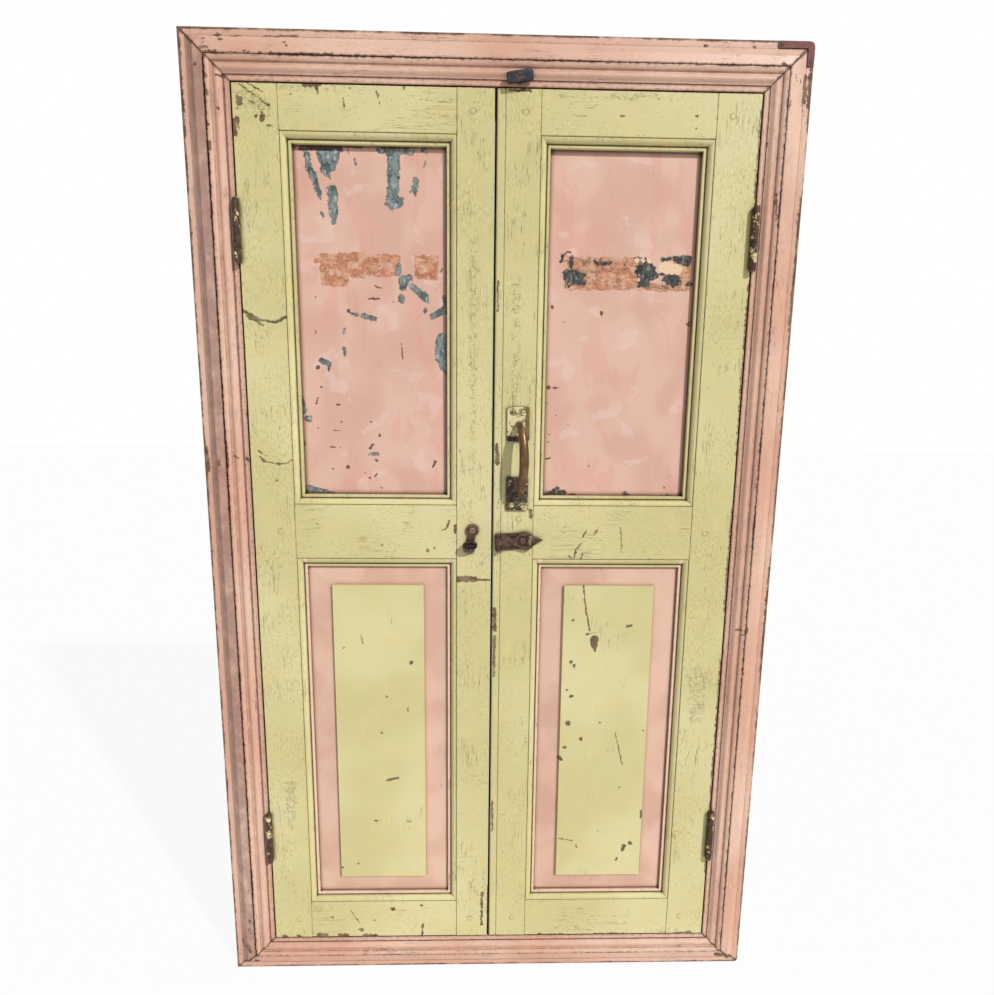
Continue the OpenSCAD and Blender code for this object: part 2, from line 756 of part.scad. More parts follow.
module frame_hinge_screws() {
  color(STEEL) hung() for (door = [LEFT_DOOR, RIGHT_DOOR]) on_door(door) at_hinges()
    translate([-door_gap, 0, 0]) hinge_screw_places() rotate([0, 90, 0])
      screw(hinge_screw_head, hinge_screw_d, hinge_screw_len);
}

module door_hinge_screws(door) {
  color(STEEL) hung() on_door(door) at_hinges() hinge_screw_places() rotate([0, -90, 0])
    screw(hinge_screw_head, hinge_screw_d, hinge_screw_len);
}
module left_hinge_screws() { door_hinge_screws(LEFT_DOOR); }
module right_hinge_screws() { door_hinge_screws(RIGHT_DOOR); }

// ---------------------------------------------------------------- doors

// The space of the sheet metal panel, less play on its four edges.
module tin_block(play) {
  box([panel_x0 - groove_depth + play, upper_y0 - groove_depth + play, tin_z - tin_t],
      [panel_x1 + groove_depth - play, upper_y1 + groove_depth - play, tin_z]);
}

// The space of the wooden panel's tongue, less play on its four edges.
module wood_block(play) {
  box([panel_x0 - groove_depth + play, lower_y0 - groove_depth + play, margin_z - tongue_edge_t],
      [panel_x1 + groove_depth - play, lower_y1 + groove_depth - play, margin_z]);
}

// A rail's two tenons as one bar right through it.
module tenon_bar(rail, play) {
  box([panel_x0 - tenon_len - play, rail[0] + tenon_shoulder, tenon_z0],
      [panel_x1 + tenon_len + play, rail[1] - tenon_shoulder, tenon_z0 + tenon_t]);
}

// Repeats its children at the six pegs of a door. The lock rail's peg by the meeting
// edge sits higher than the others, clear of the hasp.
module at_pegs() {
  for (rail = RAILS) {
    translate([panel_x0 - peg_in, (rail[0] + rail[1]) / 2, door_back_z]) children();
    up = rail == RAILS[1] ? 0.75 : 0.5;
    translate([panel_x1 + peg_in, rail[0] + up * (rail[1] - rail[0]), door_back_z]) children();
  }
}

module peg_holes() {
  at_pegs() translate([0, 0, -1]) cylinder(h = door_t + 2, d = peg_d + 2 * screw_play);
}

// What is cut from every stile: grooves, mortises and peg holes.
module stile_cuts() {
  tin_block(0);
  wood_block(0);
  for (rail = RAILS) tenon_bar(rail, mortise_play);
  peg_holes();
}

// A stile's or rail's section, [across, level], with its front arrises taken off.
function bar_section(a, b) = [[a, door_back_z], [b, door_back_z], [b, face_z - arris],
  [b - arris, face_z], [a + arris, face_z], [a, face_z - arris]];

// An extrusion up a door of a section in [x, level].
module upright(section) {
  rotate([90, 0, 0]) linear_extrude(height = door_h, center = true) polygon(section);
}

module hinge_stile(door) {
  color(GREEN) hung() on_door(door) difference() {
    upright(bar_section(0, hinge_stile_w));
    stile_cuts();
    at_hinges() {
      box([-1, -hinge_len / 2, face_z - hinge_leaf_w], [hinge_leaf_t, hinge_len / 2, face_z + 1]);
      hinge_screw_places() rotate([0, -90, 0]) screw_hole(hinge_screw_head, hinge_screw_d, hinge_screw_len);
    }
  }
}
module left_hinge_stile() { hinge_stile(LEFT_DOOR); }
module right_hinge_stile() { hinge_stile(RIGHT_DOOR); }

module left_meeting_stile() {
  x1 = door_w(LEFT_DOOR);
  color(GREEN) hung() difference() {
    on_door(LEFT_DOOR) difference() {
      upright([[panel_x1, door_back_z], [x1 - meeting_bevel, door_back_z], [x1, face_z - arris],
               [x1 - arris, face_z], [panel_x1 + arris, face_z], [panel_x1, face_z - arris]]);
      stile_cuts();
    }
    at_staple() {
      translate([0, 0, -spindle_hole_deep]) cylinder(h = spindle_hole_deep + 1, d = collar_d + 1);
      staple_screw_places() translate([0, 0, hasp_t]) staple_screw_hole();
    }
  }
}

module right_meeting_stile() {
  x1 = door_w(RIGHT_DOOR);
  color(GREEN) hung() difference() {
    on_door(RIGHT_DOOR) difference() {
      upright([[panel_x1, door_back_z], [x1 - meeting_bevel, door_back_z], [x1, bead_z],
               [x1 - bead_w, bead_z], [x1 - bead_w, face_z - arris], [x1 - bead_w - arris, face_z],
               [panel_x1 + arris, face_z], [panel_x1, face_z - arris]]);
      stile_cuts();
    }
    at_handle() handle_screw_places() handle_screw_hole();
    at_hasp() hasp_screw_places() hasp_screw_hole();
  }
}

module right_meeting_bead() {
  x1 = door_w(RIGHT_DOOR);
  r = 2.5;
  color(GREEN) hung() on_door(RIGHT_DOOR)
    upright(concat([[x1 - bead_w, bead_z], [x1, bead_z]],
                   arc([x1 - r, face_z - r], r, 0, 90, 5),
                   arc([x1 - bead_w + 1, face_z - 1], 1, 90, 180, 3)));
}

module rail_bar(door, rail) {
  color(GREEN) hung() on_door(door) difference() {
    union() {
      rotate([90, 0, 90]) translate([0, 0, panel_x0]) linear_extrude(height = panel_w)
        polygon(bar_section(rail[0], rail[1]));
      tenon_bar(rail, 0);
    }
    tin_block(0);
    wood_block(0);
    peg_holes();
  }
}
module left_bottom_rail() { rail_bar(LEFT_DOOR, RAILS[0]); }
module left_lock_rail() { rail_bar(LEFT_DOOR, RAILS[1]); }
module left_top_rail() { rail_bar(LEFT_DOOR, RAILS[2]); }
module right_bottom_rail() { rail_bar(RIGHT_DOOR, RAILS[0]); }
module right_lock_rail() { rail_bar(RIGHT_DOOR, RAILS[1]); }
module right_top_rail() { rail_bar(RIGHT_DOOR, RAILS[2]); }

module pegs(door) {
  color(GREEN) hung() on_door(door) at_pegs() {
    cylinder(h = door_t, d = peg_d);
    translate([0, 0, door_t - EPS]) cylinder(h = peg_proud + EPS, d1 = peg_d, d2 = peg_d - 2 * peg_proud);
  }
}
module left_pegs() { pegs(LEFT_DOOR); }
module right_pegs() { pegs(RIGHT_DOOR); }

module tin_panel(door) {
  color(TIN) hung() on_door(door) tin_block(panel_play);
}
module left_tin_panel() { tin_panel(LEFT_DOOR); }
module right_tin_panel() { tin_panel(RIGHT_DOOR); }

// Half of a raised panel's outline across it: tongue, slope, step and field.
function raised(low, high, margin) = let (
    a = low + panel_mould_w, b = high - panel_mould_w, m = margin,
    bottom = margin_z - tongue_edge_t, t0 = low - groove_depth + panel_play, t1 = high + groove_depth - panel_play)
  [[t0, bottom], [t1, bottom], [t1, margin_z], [b, margin_z], [b - m, field_z - field_step],
   [b - m - 0.6, field_z], [a + m + 0.6, field_z], [a + m, field_z - field_step], [a, margin_z], [t0, margin_z]];

module wood_panel(door) {
  w = panel_w + 2 * groove_depth;
  h = lower_opening_h + 2 * groove_depth;
  color(GREEN) hung() on_door(door) intersection() {
    translate([0, (lower_y0 + lower_y1) / 2, 0]) rotate([90, 0, 0]) linear_extrude(height = h, center = true)
      polygon(raised(panel_x0, panel_x1, field_margin_x));
    translate([(panel_x0 + panel_x1) / 2, 0, 0]) rotate([90, 0, 90]) linear_extrude(height = w, center = true)
      polygon(raised(lower_y0, lower_y1, field_margin_z));
  }
}
module left_wood_panel() { wood_panel(LEFT_DOOR); }
module right_wood_panel() { wood_panel(RIGHT_DOOR); }

// Section of a panel moulding on a panel's face: a round, a quirk and a flat fillet.
function mould_profile(seat) = let (fillet_z = face_z - panel_fillet_set,
    fillet_u = panel_round_w + panel_quirk)
  concat([[0, seat], [0, face_z - 1.2], [0.7, face_z - 0.4]],
         quarter([1.2, face_z - 0.4], [panel_round_w, fillet_z - panel_quirk], 6),
         [[fillet_u, fillet_z - panel_quirk], [fillet_u, fillet_z - 0.3], [fillet_u + 0.3, fillet_z],
          [panel_mould_w - 0.4, fillet_z], [panel_mould_w, fillet_z - 0.4], [panel_mould_w, seat]]);

// The moulding round one panel opening.
module panel_moulding(door, y0, y1, seat) {
  color(GREEN) hung() on_door(door) translate([(panel_x0 + panel_x1) / 2, (y0 + y1) / 2, 0])
    ring(panel_w, y1 - y0, mould_profile(seat));
}
module left_upper_moulding() { panel_moulding(LEFT_DOOR, upper_y0, upper_y1, tin_z); }
module left_lower_moulding() { panel_moulding(LEFT_DOOR, lower_y0, lower_y1, margin_z); }
module right_upper_moulding() { panel_moulding(RIGHT_DOOR, upper_y0, upper_y1, tin_z); }
module right_lower_moulding() { panel_moulding(RIGHT_DOOR, lower_y0, lower_y1, margin_z); }

// ---------------------------------------------------------------- pull handle

handle_screw_d = 3;
handle_screw_head = 6.4;
handle_screw_len = 18;
plate_mid = (handle_len - handle_plate_len) / 2;

// The handle's own drawing: its middle at the origin, its plates on z = 0.
module at_handle() {
  translate([open_w / 2 - door_gap - door_w(RIGHT_DOOR) + handle_in, upper_y0 + handle_up, face_z]) children();
}

module handle_screw_places() {
  for (sx = [-1, 1], sy = [-1, 1])
    translate([sx * 6, sy * (handle_len / 2 - 6), handle_plate_t]) children();
}

module handle_screw_hole() {
  screw_hole(handle_screw_head, handle_screw_d, handle_screw_len);
}

// The grip's middle line and thickness at t, from 0 at its lower foot to 1.
GRIP_RINGS = 18;
GRIP_SIDES = 14;
function grip_at(t) = [grip_lean * sin(180 * t), -plate_mid * cos(180 * t),
  handle_plate_t - 1 + (grip_rise - grip_mid_d / 2 - handle_plate_t + 1) * pow(sin(180 * t), 0.8)];
function grip_d(t) = grip_end_d + (grip_mid_d - grip_end_d) * pow(sin(180 * t), 1.5);
function unit(v) = v / norm(v);
function grip_ring(t) = let (
    ahead = unit(grip_at(min(t + 0.02, 1)) - grip_at(max(t - 0.02, 0))),
    side = unit(cross(ahead, [0, 0, 1])), up = cross(side, ahead), c = grip_at(t), r = grip_d(t) / 2)
  [for (i = [0 : GRIP_SIDES - 1]) let (a = 360 * i / GRIP_SIDES)
    c + r * cos(a) * side + r * sin(a) * up];

module grip() {
  rings = [for (i = [0 : GRIP_RINGS]) grip_ring(i / GRIP_RINGS)];
  polyhedron(
    points = [for (ring = rings, p = ring) p],
    faces = concat(
      [[for (i = [0 : GRIP_SIDES - 1]) GRIP_SIDES - 1 - i]],
      [for (k = [0 : GRIP_RINGS - 1], i = [0 : GRIP_SIDES - 1]) let (j = (i + 1) % GRIP_SIDES, a = k * GRIP_SIDES)
        each [[a + i, a + j, a + GRIP_SIDES + i], [a + j, a + GRIP_SIDES + j, a + GRIP_SIDES + i]]],
      [[for (i = [0 : GRIP_SIDES - 1]) GRIP_RINGS * GRIP_SIDES + i]]
    )
  );
}

module pull_handle() {
  color(IRON) hung() at_handle() difference() {
    union() {
      for (s = [-1, 1]) translate([0, s * plate_mid, 0]) linear_extrude(height = handle_plate_t)
        square([handle_plate_w, handle_plate_len], center = true);
      intersection() {
        grip();
        box([-handle_plate_w, -handle_len / 2, handle_plate_t / 2], [handle_plate_w, handle_len / 2, 2 * grip_rise]);
      }
    }
    handle_screw_places() handle_screw_hole();
  }
}

module handle_screws() {
  color(IRON) hung() at_handle() handle_screw_places()
    screw(handle_screw_head, handle_screw_d, handle_screw_len);
}

// ---------------------------------------------------------------- hasp

// The hasp's own drawing: its pin stands along y through the origin, z from the wall.
module at_hasp() {
  translate([hasp_x, hasp_y, 0]) rotate([0, 0, hasp_lean]) children();
}

module hasp_screw_places() {
  for (x = [hasp_leaf_len - 6.5, hasp_knuckle_d + 4]) translate([x, 0, face_z + hasp_t]) children();
}

module hasp_screw_hole() {
  screw_hole(hasp_screw_head, hasp_screw_d, hasp_screw_len);
}

// Knuckles of the hasp on the pin's line: the strap has the middle one.
module hasp_knuckle(i) {
  step = hasp_h / HASP_KNUCKLES;
  translate([0, -hasp_h / 2 + i * step + knuckle_play / 2, hasp_pin_z])
    rod(hasp_knuckle_d, step - knuckle_play);
}

module hasp_bore() {
  translate([0, -hasp_h, hasp_pin_z]) rod(hasp_pin_d + 2 * pin_play, 2 * hasp_h);
}

module hasp_leaf() {
  step = hasp_h / HASP_KNUCKLES;
  clear = hasp_knuckle_d / 2 + knuckle_play;
  color(IRON) hung() at_hasp() difference() {
    union() {
      box([clear, -hasp_h / 2, face_z], [hasp_leaf_len, hasp_h / 2, face_z + hasp_t]);
      for (i = [0, 2]) {
        hasp_knuckle(i);
        box([0, -hasp_h / 2 + i * step + knuckle_play / 2, face_z + 0.2],
            [clear + EPS, -hasp_h / 2 + (i + 1) * step - knuckle_play / 2, face_z + hasp_t]);
      }
    }
    hasp_bore();
    hasp_screw_places() hasp_screw_hole();
  }
}

module hasp_screws() {
  color(IRON) hung() at_hasp() hasp_screw_places() screw(hasp_screw_head, hasp_screw_d, hasp_screw_len);
}

module hasp_pin() {
  color(IRON) hung() at_hasp() translate([0, -hasp_h / 2, hasp_pin_z]) {
    rod(hasp_pin_d, hasp_h);
    translate([0, -0.8, 0]) rod(hasp_knuckle_d - 1.6, 0.8);
    translate([0, hasp_h, 0]) rod(hasp_knuckle_d - 1.6, 0.8);
  }
}

// Half-width of the strap at a distance from the pin: neck, round body and tip.
neck_x = 14;
neck_h = 8.5;
body_x0 = strap_reach - sqrt(strap_r * strap_r - neck_h * neck_h / 4);
tip_from = strap_reach + strap_r * sin(40);
tip_half = strap_r * cos(40);
strap_upper = concat(
  [[0, hasp_h / 2 - 0.2], [5, hasp_h / 2 - 0.2]],
  slope([6, hasp_h / 2 - 0.6], [neck_x + 2, neck_h / 2], 6),
  [for (i = [0 : 12]) let (x = body_x0 + (tip_from - body_x0) * i / 12)
    [x, sqrt(max(0, strap_r * strap_r - pow(x - strap_reach, 2)))]],
  [for (i = [1 : 5]) let (t = i / 6) [tip_from + (strap_len - tip_from) * t,
    tip_half * (1 - t) * (1 - 0.35 * sin(180 * t))]]
);

module strap_outline() {
  polygon(concat(strap_upper, [[strap_len, 0]],
    [for (i = [len(strap_upper) - 1 : -1 : 0]) [strap_upper[i][0], -strap_upper[i][1]]]));
}

// The strap, folded back over its fixed leaf; closing swings it over to the left door.
module hasp_strap() {
  step = hasp_h / HASP_KNUCKLES;
  clear = hasp_knuckle_d / 2 + knuckle_play;
  color(IRON) hung() at_hasp() difference() {
    union() {
      translate([0, 0, strap_z0]) linear_extrude(height = hasp_t) difference() {
        strap_outline();
        translate([strap_reach, 0]) for (s = [-1, 1])
          translate([s * (slot_len - slot_h) / 2, 0]) circle(d = slot_h);
        translate([strap_reach, 0]) square([slot_len - slot_h, slot_h], center = true);
        for (s = [-1, 1]) translate([-1, s * step - step / 2 - knuckle_play / 2])
          square([clear + 1, step + knuckle_play]);
      }
      hasp_knuckle(1);
    }
    hasp_bore();
  }
}

// ---------------------------------------------------------------- staple and knob

spindle_hole_deep = collar_t + neck_gap + 1;

// The staple's own drawing: its plate lies on z = 0, under the closed strap's slot.
module at_staple() {
  at_hasp() translate([-strap_reach, 0, face_z]) children();
}

// The plate leans by itself; the knob stays in line with the strap's slot.
module staple_leans() {
  rotate([0, 0, -staple_lean - hasp_lean]) children();
}

module staple_screw_places() {
  staple_leans() for (y = [staple_up - staple_lobe / 2, -staple_down + 0.7 + hasp_screw_head / 2])
    translate([0, y, 0]) children();
}

module staple_screw_hole() {
  screw_hole(hasp_screw_head, hasp_screw_d, hasp_screw_len);
}

neck_top = knob_z0 - neck_gap - face_z;

module staple_plate() {
  color(IRON) hung() at_staple() difference() {
    union() {
      staple_leans() linear_extrude(height = hasp_t) {
        translate([0, staple_up - staple_lobe / 2]) circle(d = staple_lobe);
        translate([-neck_d / 2, 0]) square([neck_d, staple_up - staple_lobe / 2]);
        translate([0, -staple_down + staple_w / 2]) circle(d = staple_w);
      }
      cylinder(h = neck_top, d = neck_d);
    }
    translate([0, 0, -1]) cylinder(h = neck_top + 2, d = spindle_d + 2 * pin_play);
    staple_screw_places() translate([0, 0, hasp_t]) staple_screw_hole();
  }
}

module staple_screws() {
  color(IRON) hung() at_staple() staple_screw_places() translate([0, 0, hasp_t])
    screw(hasp_screw_head, hasp_screw_d, hasp_screw_len);
}

// An oval knob on a spindle through the neck, with a collar riveted behind the plate.
module twist_knob() {
  color(IRON) hung() at_staple() {
    difference() {
      translate([0, 0, knob_z0 - face_z]) linear_extrude(height = knob_t) {
        square([knob_len - knob_w, knob_w], center = true);
        for (s = [-1, 1]) translate([s * (knob_len - knob_w) / 2, 0]) circle(d = knob_w);
      }
      for (s = [-1, 1]) translate([0, s * knob_w * 0.62, knob_z0 - face_z + knob_t])
        rotate([0, 90, 0]) cylinder(h = 2 * knob_len, d = knob_w * 0.62, center = true);
    }
    translate([0, 0, -neck_gap - collar_t])
      cylinder(h = knob_z0 - face_z + neck_gap + collar_t + EPS, d = spindle_d);
    translate([0, 0, -neck_gap - collar_t]) cylinder(h = collar_t, d = collar_d);
  }
}

// ---------------------------------------------------------------- turn button

button_screw_head = 7;
button_screw_len = 28;
boss_d = 8;
// The boss stands in a round seat cut as deep as the quirk beside the strip.
boss_z = face_z - quirk;

module at_button() {
  translate([button_x, button_y, button_z0]) rotate([0, 0, button_tilt]) children();
}

module button_screw_hole() {
  translate([0, 0, button_t]) screw_hole(button_screw_head, button_screw_d, button_screw_len);
}

// The button stands on its own boss, so that its ends pass over the frame's bead.
module turn_button() {
  color(BLACK) hung() at_button() difference() {
    union() {
      linear_extrude(height = button_t)
        polygon([[-button_len / 2, -button_h / 2], [button_len / 2, -button_h / 2],
                 [button_len / 2, button_h / 2], [-button_len / 2, button_h / 2 - 1.5]]);
      translate([0, 0, boss_z - button_z0]) cylinder(h = button_z0 - boss_z + EPS, d = boss_d);
    }
    button_screw_hole();
  }
}

module button_screw() {
  color(BLACK) hung() at_button() translate([0, 0, button_t])
    screw(button_screw_head, button_screw_d, button_screw_len);
}

// ---------------------------------------------------------------- nodes

jamb_left();
jamb_right();
frame_head();
frame_sill();
corner_tongues();
outer_moulding_left();
outer_moulding_right();
outer_moulding_top();
outer_moulding_bottom();
mirror_glass();
backing_board();
backing_screws();
hanger_plates();
hanger_screws();
corner_brace();
corner_brace_nails();
button_screw();
upper_left_frame_leaf();
lower_left_frame_leaf();
upper_right_frame_leaf();
lower_right_frame_leaf();
hinge_pins();
frame_hinge_screws();
left_hinge_stile();
left_meeting_stile();
left_top_rail();
left_lock_rail();
left_bottom_rail();
left_tin_panel();
left_wood_panel();
left_upper_moulding();
left_lower_moulding();
left_pegs();
upper_left_door_leaf();
lower_left_door_leaf();
left_hinge_screws();
staple_plate();
staple_screws();
right_hinge_stile();
right_meeting_stile();
right_top_rail();
right_lock_rail();
right_bottom_rail();
right_tin_panel();
right_wood_panel();
right_upper_moulding();
right_lower_moulding();
right_pegs();
right_meeting_bead();
upper_right_door_leaf();
lower_right_door_leaf();
right_hinge_screws();
pull_handle();
handle_screws();
hasp_leaf();
hasp_screws();
hasp_pin();
hasp_strap();
twist_knob();
turn_button();
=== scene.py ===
# %% [markdown]
# # A shutter mirror, dressed
# A wall mirror hides behind two panelled shutter doors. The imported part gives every
# solid in its right place, so this lesson adds only what solids lack: old paint, bare
# wood, rusty sheet, worn iron, and the finer shapes of the fittings.

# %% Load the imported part
import math

import bmesh
import bpy
from mathutils import Matrix, Vector


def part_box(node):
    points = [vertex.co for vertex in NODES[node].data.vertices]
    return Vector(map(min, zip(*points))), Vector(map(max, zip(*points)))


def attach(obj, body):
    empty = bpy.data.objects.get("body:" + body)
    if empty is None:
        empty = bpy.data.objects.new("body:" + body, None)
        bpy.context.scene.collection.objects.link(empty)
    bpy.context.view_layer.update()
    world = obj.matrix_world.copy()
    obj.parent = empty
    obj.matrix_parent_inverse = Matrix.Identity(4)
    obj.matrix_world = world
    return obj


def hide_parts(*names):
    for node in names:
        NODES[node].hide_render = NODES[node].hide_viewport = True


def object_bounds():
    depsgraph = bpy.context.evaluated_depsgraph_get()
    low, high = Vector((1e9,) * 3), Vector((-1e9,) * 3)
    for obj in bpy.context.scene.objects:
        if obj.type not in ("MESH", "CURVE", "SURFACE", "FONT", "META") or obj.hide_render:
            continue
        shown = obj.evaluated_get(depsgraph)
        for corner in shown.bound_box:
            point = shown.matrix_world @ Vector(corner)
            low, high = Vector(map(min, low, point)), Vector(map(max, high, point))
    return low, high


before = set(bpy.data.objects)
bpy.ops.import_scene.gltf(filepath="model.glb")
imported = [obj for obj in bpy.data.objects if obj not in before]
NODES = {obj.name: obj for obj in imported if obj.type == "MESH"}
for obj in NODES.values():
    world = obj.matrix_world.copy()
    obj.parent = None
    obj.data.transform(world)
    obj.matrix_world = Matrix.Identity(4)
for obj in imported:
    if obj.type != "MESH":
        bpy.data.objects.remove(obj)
cad_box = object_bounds()

# %% [markdown]
# ## Camera
# The picture was taken from a little above the middle and slightly to the left, close
# enough for the sides to lean in. Four corners of the frame fix the place of the camera
# and its lens. A lens is given as a focal length on a 36 mm wide sensor.

# %% Camera
LENS, SENSOR = 24.965, 36
CAMERA_PLACE = (-0.01815, -0.81573, -0.24167)
CAMERA_TURN = (79.59804, -0.64382, -1.42722)

camera = bpy.data.objects.new("camera", bpy.data.cameras.new("camera"))
camera.data.lens = LENS
camera.data.sensor_width = SENSOR
camera.location = CAMERA_PLACE
camera.rotation_euler = [math.radians(a) for a in CAMERA_TURN]
bpy.context.scene.collection.objects.link(camera)
bpy.context.scene.camera = camera
print("camera at", tuple(round(c, 3) for c in camera.location))

# %% [markdown]
# ## Light
# One lamp stands in for a soft box at the upper right, in front. The shadows of the
# handle and of the mouldings give its direction. The world fills the shadows. Rays that
# come straight from the camera see plain white instead, and metal and the mirror see a
# part of it, as they would in a room with a pale wall.

# %% Light
TOWARDS_LAMP = Vector((0.513, -0.589, 0.625))
FILL, LAMP, LAMP_SPREAD = 0.26, 2.85, 1.5
GLOSS_SHARE = 0.4  # how much of the white ground metal and glass see

lamp = bpy.data.objects.new("soft_lamp", bpy.data.lights.new("soft_lamp", "SUN"))
lamp.data.energy = LAMP
lamp.data.angle = math.radians(LAMP_SPREAD)
lamp.rotation_euler = TOWARDS_LAMP.to_track_quat("Z", "Y").to_euler()
bpy.context.scene.collection.objects.link(lamp)


def seen_directly(tree):
    """A socket that is 1 for rays from the camera and less for rays from gloss."""
    path = tree.nodes.new("ShaderNodeLightPath")
    both = tree.nodes.new("ShaderNodeMath")
    both.operation = "MULTIPLY_ADD"
    tree.links.new(path.outputs["Is Glossy Ray"], both.inputs[0])
    both.inputs[1].default_value = GLOSS_SHARE
    tree.links.new(path.outputs["Is Camera Ray"], both.inputs[2])
    return both.outputs[0]


def white_light(strength):
    """White light of this strength from all round."""
    node = sky.nodes.new("ShaderNodeBackground")
    node.inputs["Color"].default_value = (1, 1, 1, 1)
    node.inputs["Strength"].default_value = strength
    return node.outputs[0]


world = bpy.data.worlds.new("studio")
bpy.context.scene.world = world
world.use_nodes = True
sky = world.node_tree
sky.nodes.clear()
either = sky.nodes.new("ShaderNodeMixShader")
sky.links.new(seen_directly(sky), either.inputs[0])
sky.links.new(white_light(FILL), either.inputs[1])
sky.links.new(white_light(1), either.inputs[2])
sky.links.new(either.outputs[0], sky.nodes.new("ShaderNodeOutputWorld").inputs[0])
bpy.context.scene.view_settings.view_transform = "Standard"
print("fill", FILL, "lamp", LAMP)

# %% [markdown]
# ## Floor
# The picture has a white ground with hardly any shadow. The floor is a near-white sheet
# that glows to the camera, and in part to metal and glass, so the shadow on it stays
# faint. Its glow lights nothing.

# %% Floor
FLOOR_HALF, FLOOR_GLOW, FLOOR_ROUGH = 6.0, 0.93, 0.9
FLOOR_WHITE = (0.9, 0.9, 0.9, 1)

sheet = bmesh.new()
bmesh.ops.create_grid(sheet, x_segments=4, y_segments=4, size=FLOOR_HALF)
floor_mesh = bpy.data.meshes.new("floor")
sheet.to_mesh(floor_mesh)
floor = bpy.data.objects.new("floor", floor_mesh)
floor.location = (0, 0, cad_box[0][2])
bpy.context.scene.collection.objects.link(floor)

ground = bpy.data.materials.new("pale_floor")
ground.use_nodes = True
tree = ground.node_tree
matt = tree.nodes["Principled BSDF"]
matt.inputs["Base Color"].default_value = FLOOR_WHITE
matt.inputs["Roughness"].default_value = FLOOR_ROUGH
glow = tree.nodes.new("ShaderNodeEmission")
share = tree.nodes.new("ShaderNodeMath")
share.operation = "MULTIPLY"
share.inputs[1].default_value = FLOOR_GLOW
tree.links.new(seen_directly(tree), share.inputs[0])
over = tree.nodes.new("ShaderNodeMixShader")
tree.links.new(share.outputs[0], over.inputs[0])
tree.links.new(matt.outputs[0], over.inputs[1])
tree.links.new(glow.outputs[0], over.inputs[2])
tree.links.new(over.outputs[0], tree.nodes["Material Output"].inputs[0])
floor_mesh.materials.append(ground)
print("floor at", round(floor.location.z, 3))

# %% [markdown]
# ## A way to write finishes
# Old paint is many thin layers: colour, brush marks, dirt in the corners, chips at the
# edges. In Blender each is a few nodes. Joining them by hand is slow to read, so a
# `Finish` builds the nodes, and a `Wire` is a value between them that can be added and
# multiplied like a number. Places are in millimetres from the middle of the frame.

# %% Wires
MIDDLE = 450  # the frame's middle is this far below the part's origin


class Wire:
    """A value between two nodes of a finish."""

    def __init__(self, finish, socket):
        self.finish, self.socket = finish, socket

    def __add__(self, other):
        return self.finish.math("ADD", self, other)

    def __sub__(self, other):
        return self.finish.math("SUBTRACT", self, other)

    def __rsub__(self, other):
        return self.finish.math("SUBTRACT", other, self)

    def __mul__(self, other):
        return self.finish.math("MULTIPLY", self, other)

    def __or__(self, other):
        return self.finish.math("MAXIMUM", self, other)

    def __and__(self, other):
        return self.finish.math("MINIMUM", self, other)

    def __abs__(self):
        return self.finish.math("ABSOLUTE", self)

    __radd__, __rmul__ = __add__, __mul__


def tint(red, green, blue):
    """A colour as a screen shows it, 0 to 255, turned into light."""
    out = []
    for c in (red, green, blue):
        c /= 255
        out.append(c / 12.92 if c < 0.04045 else ((c + 0.055) / 1.055) ** 2.4)
    return (*out, 1)


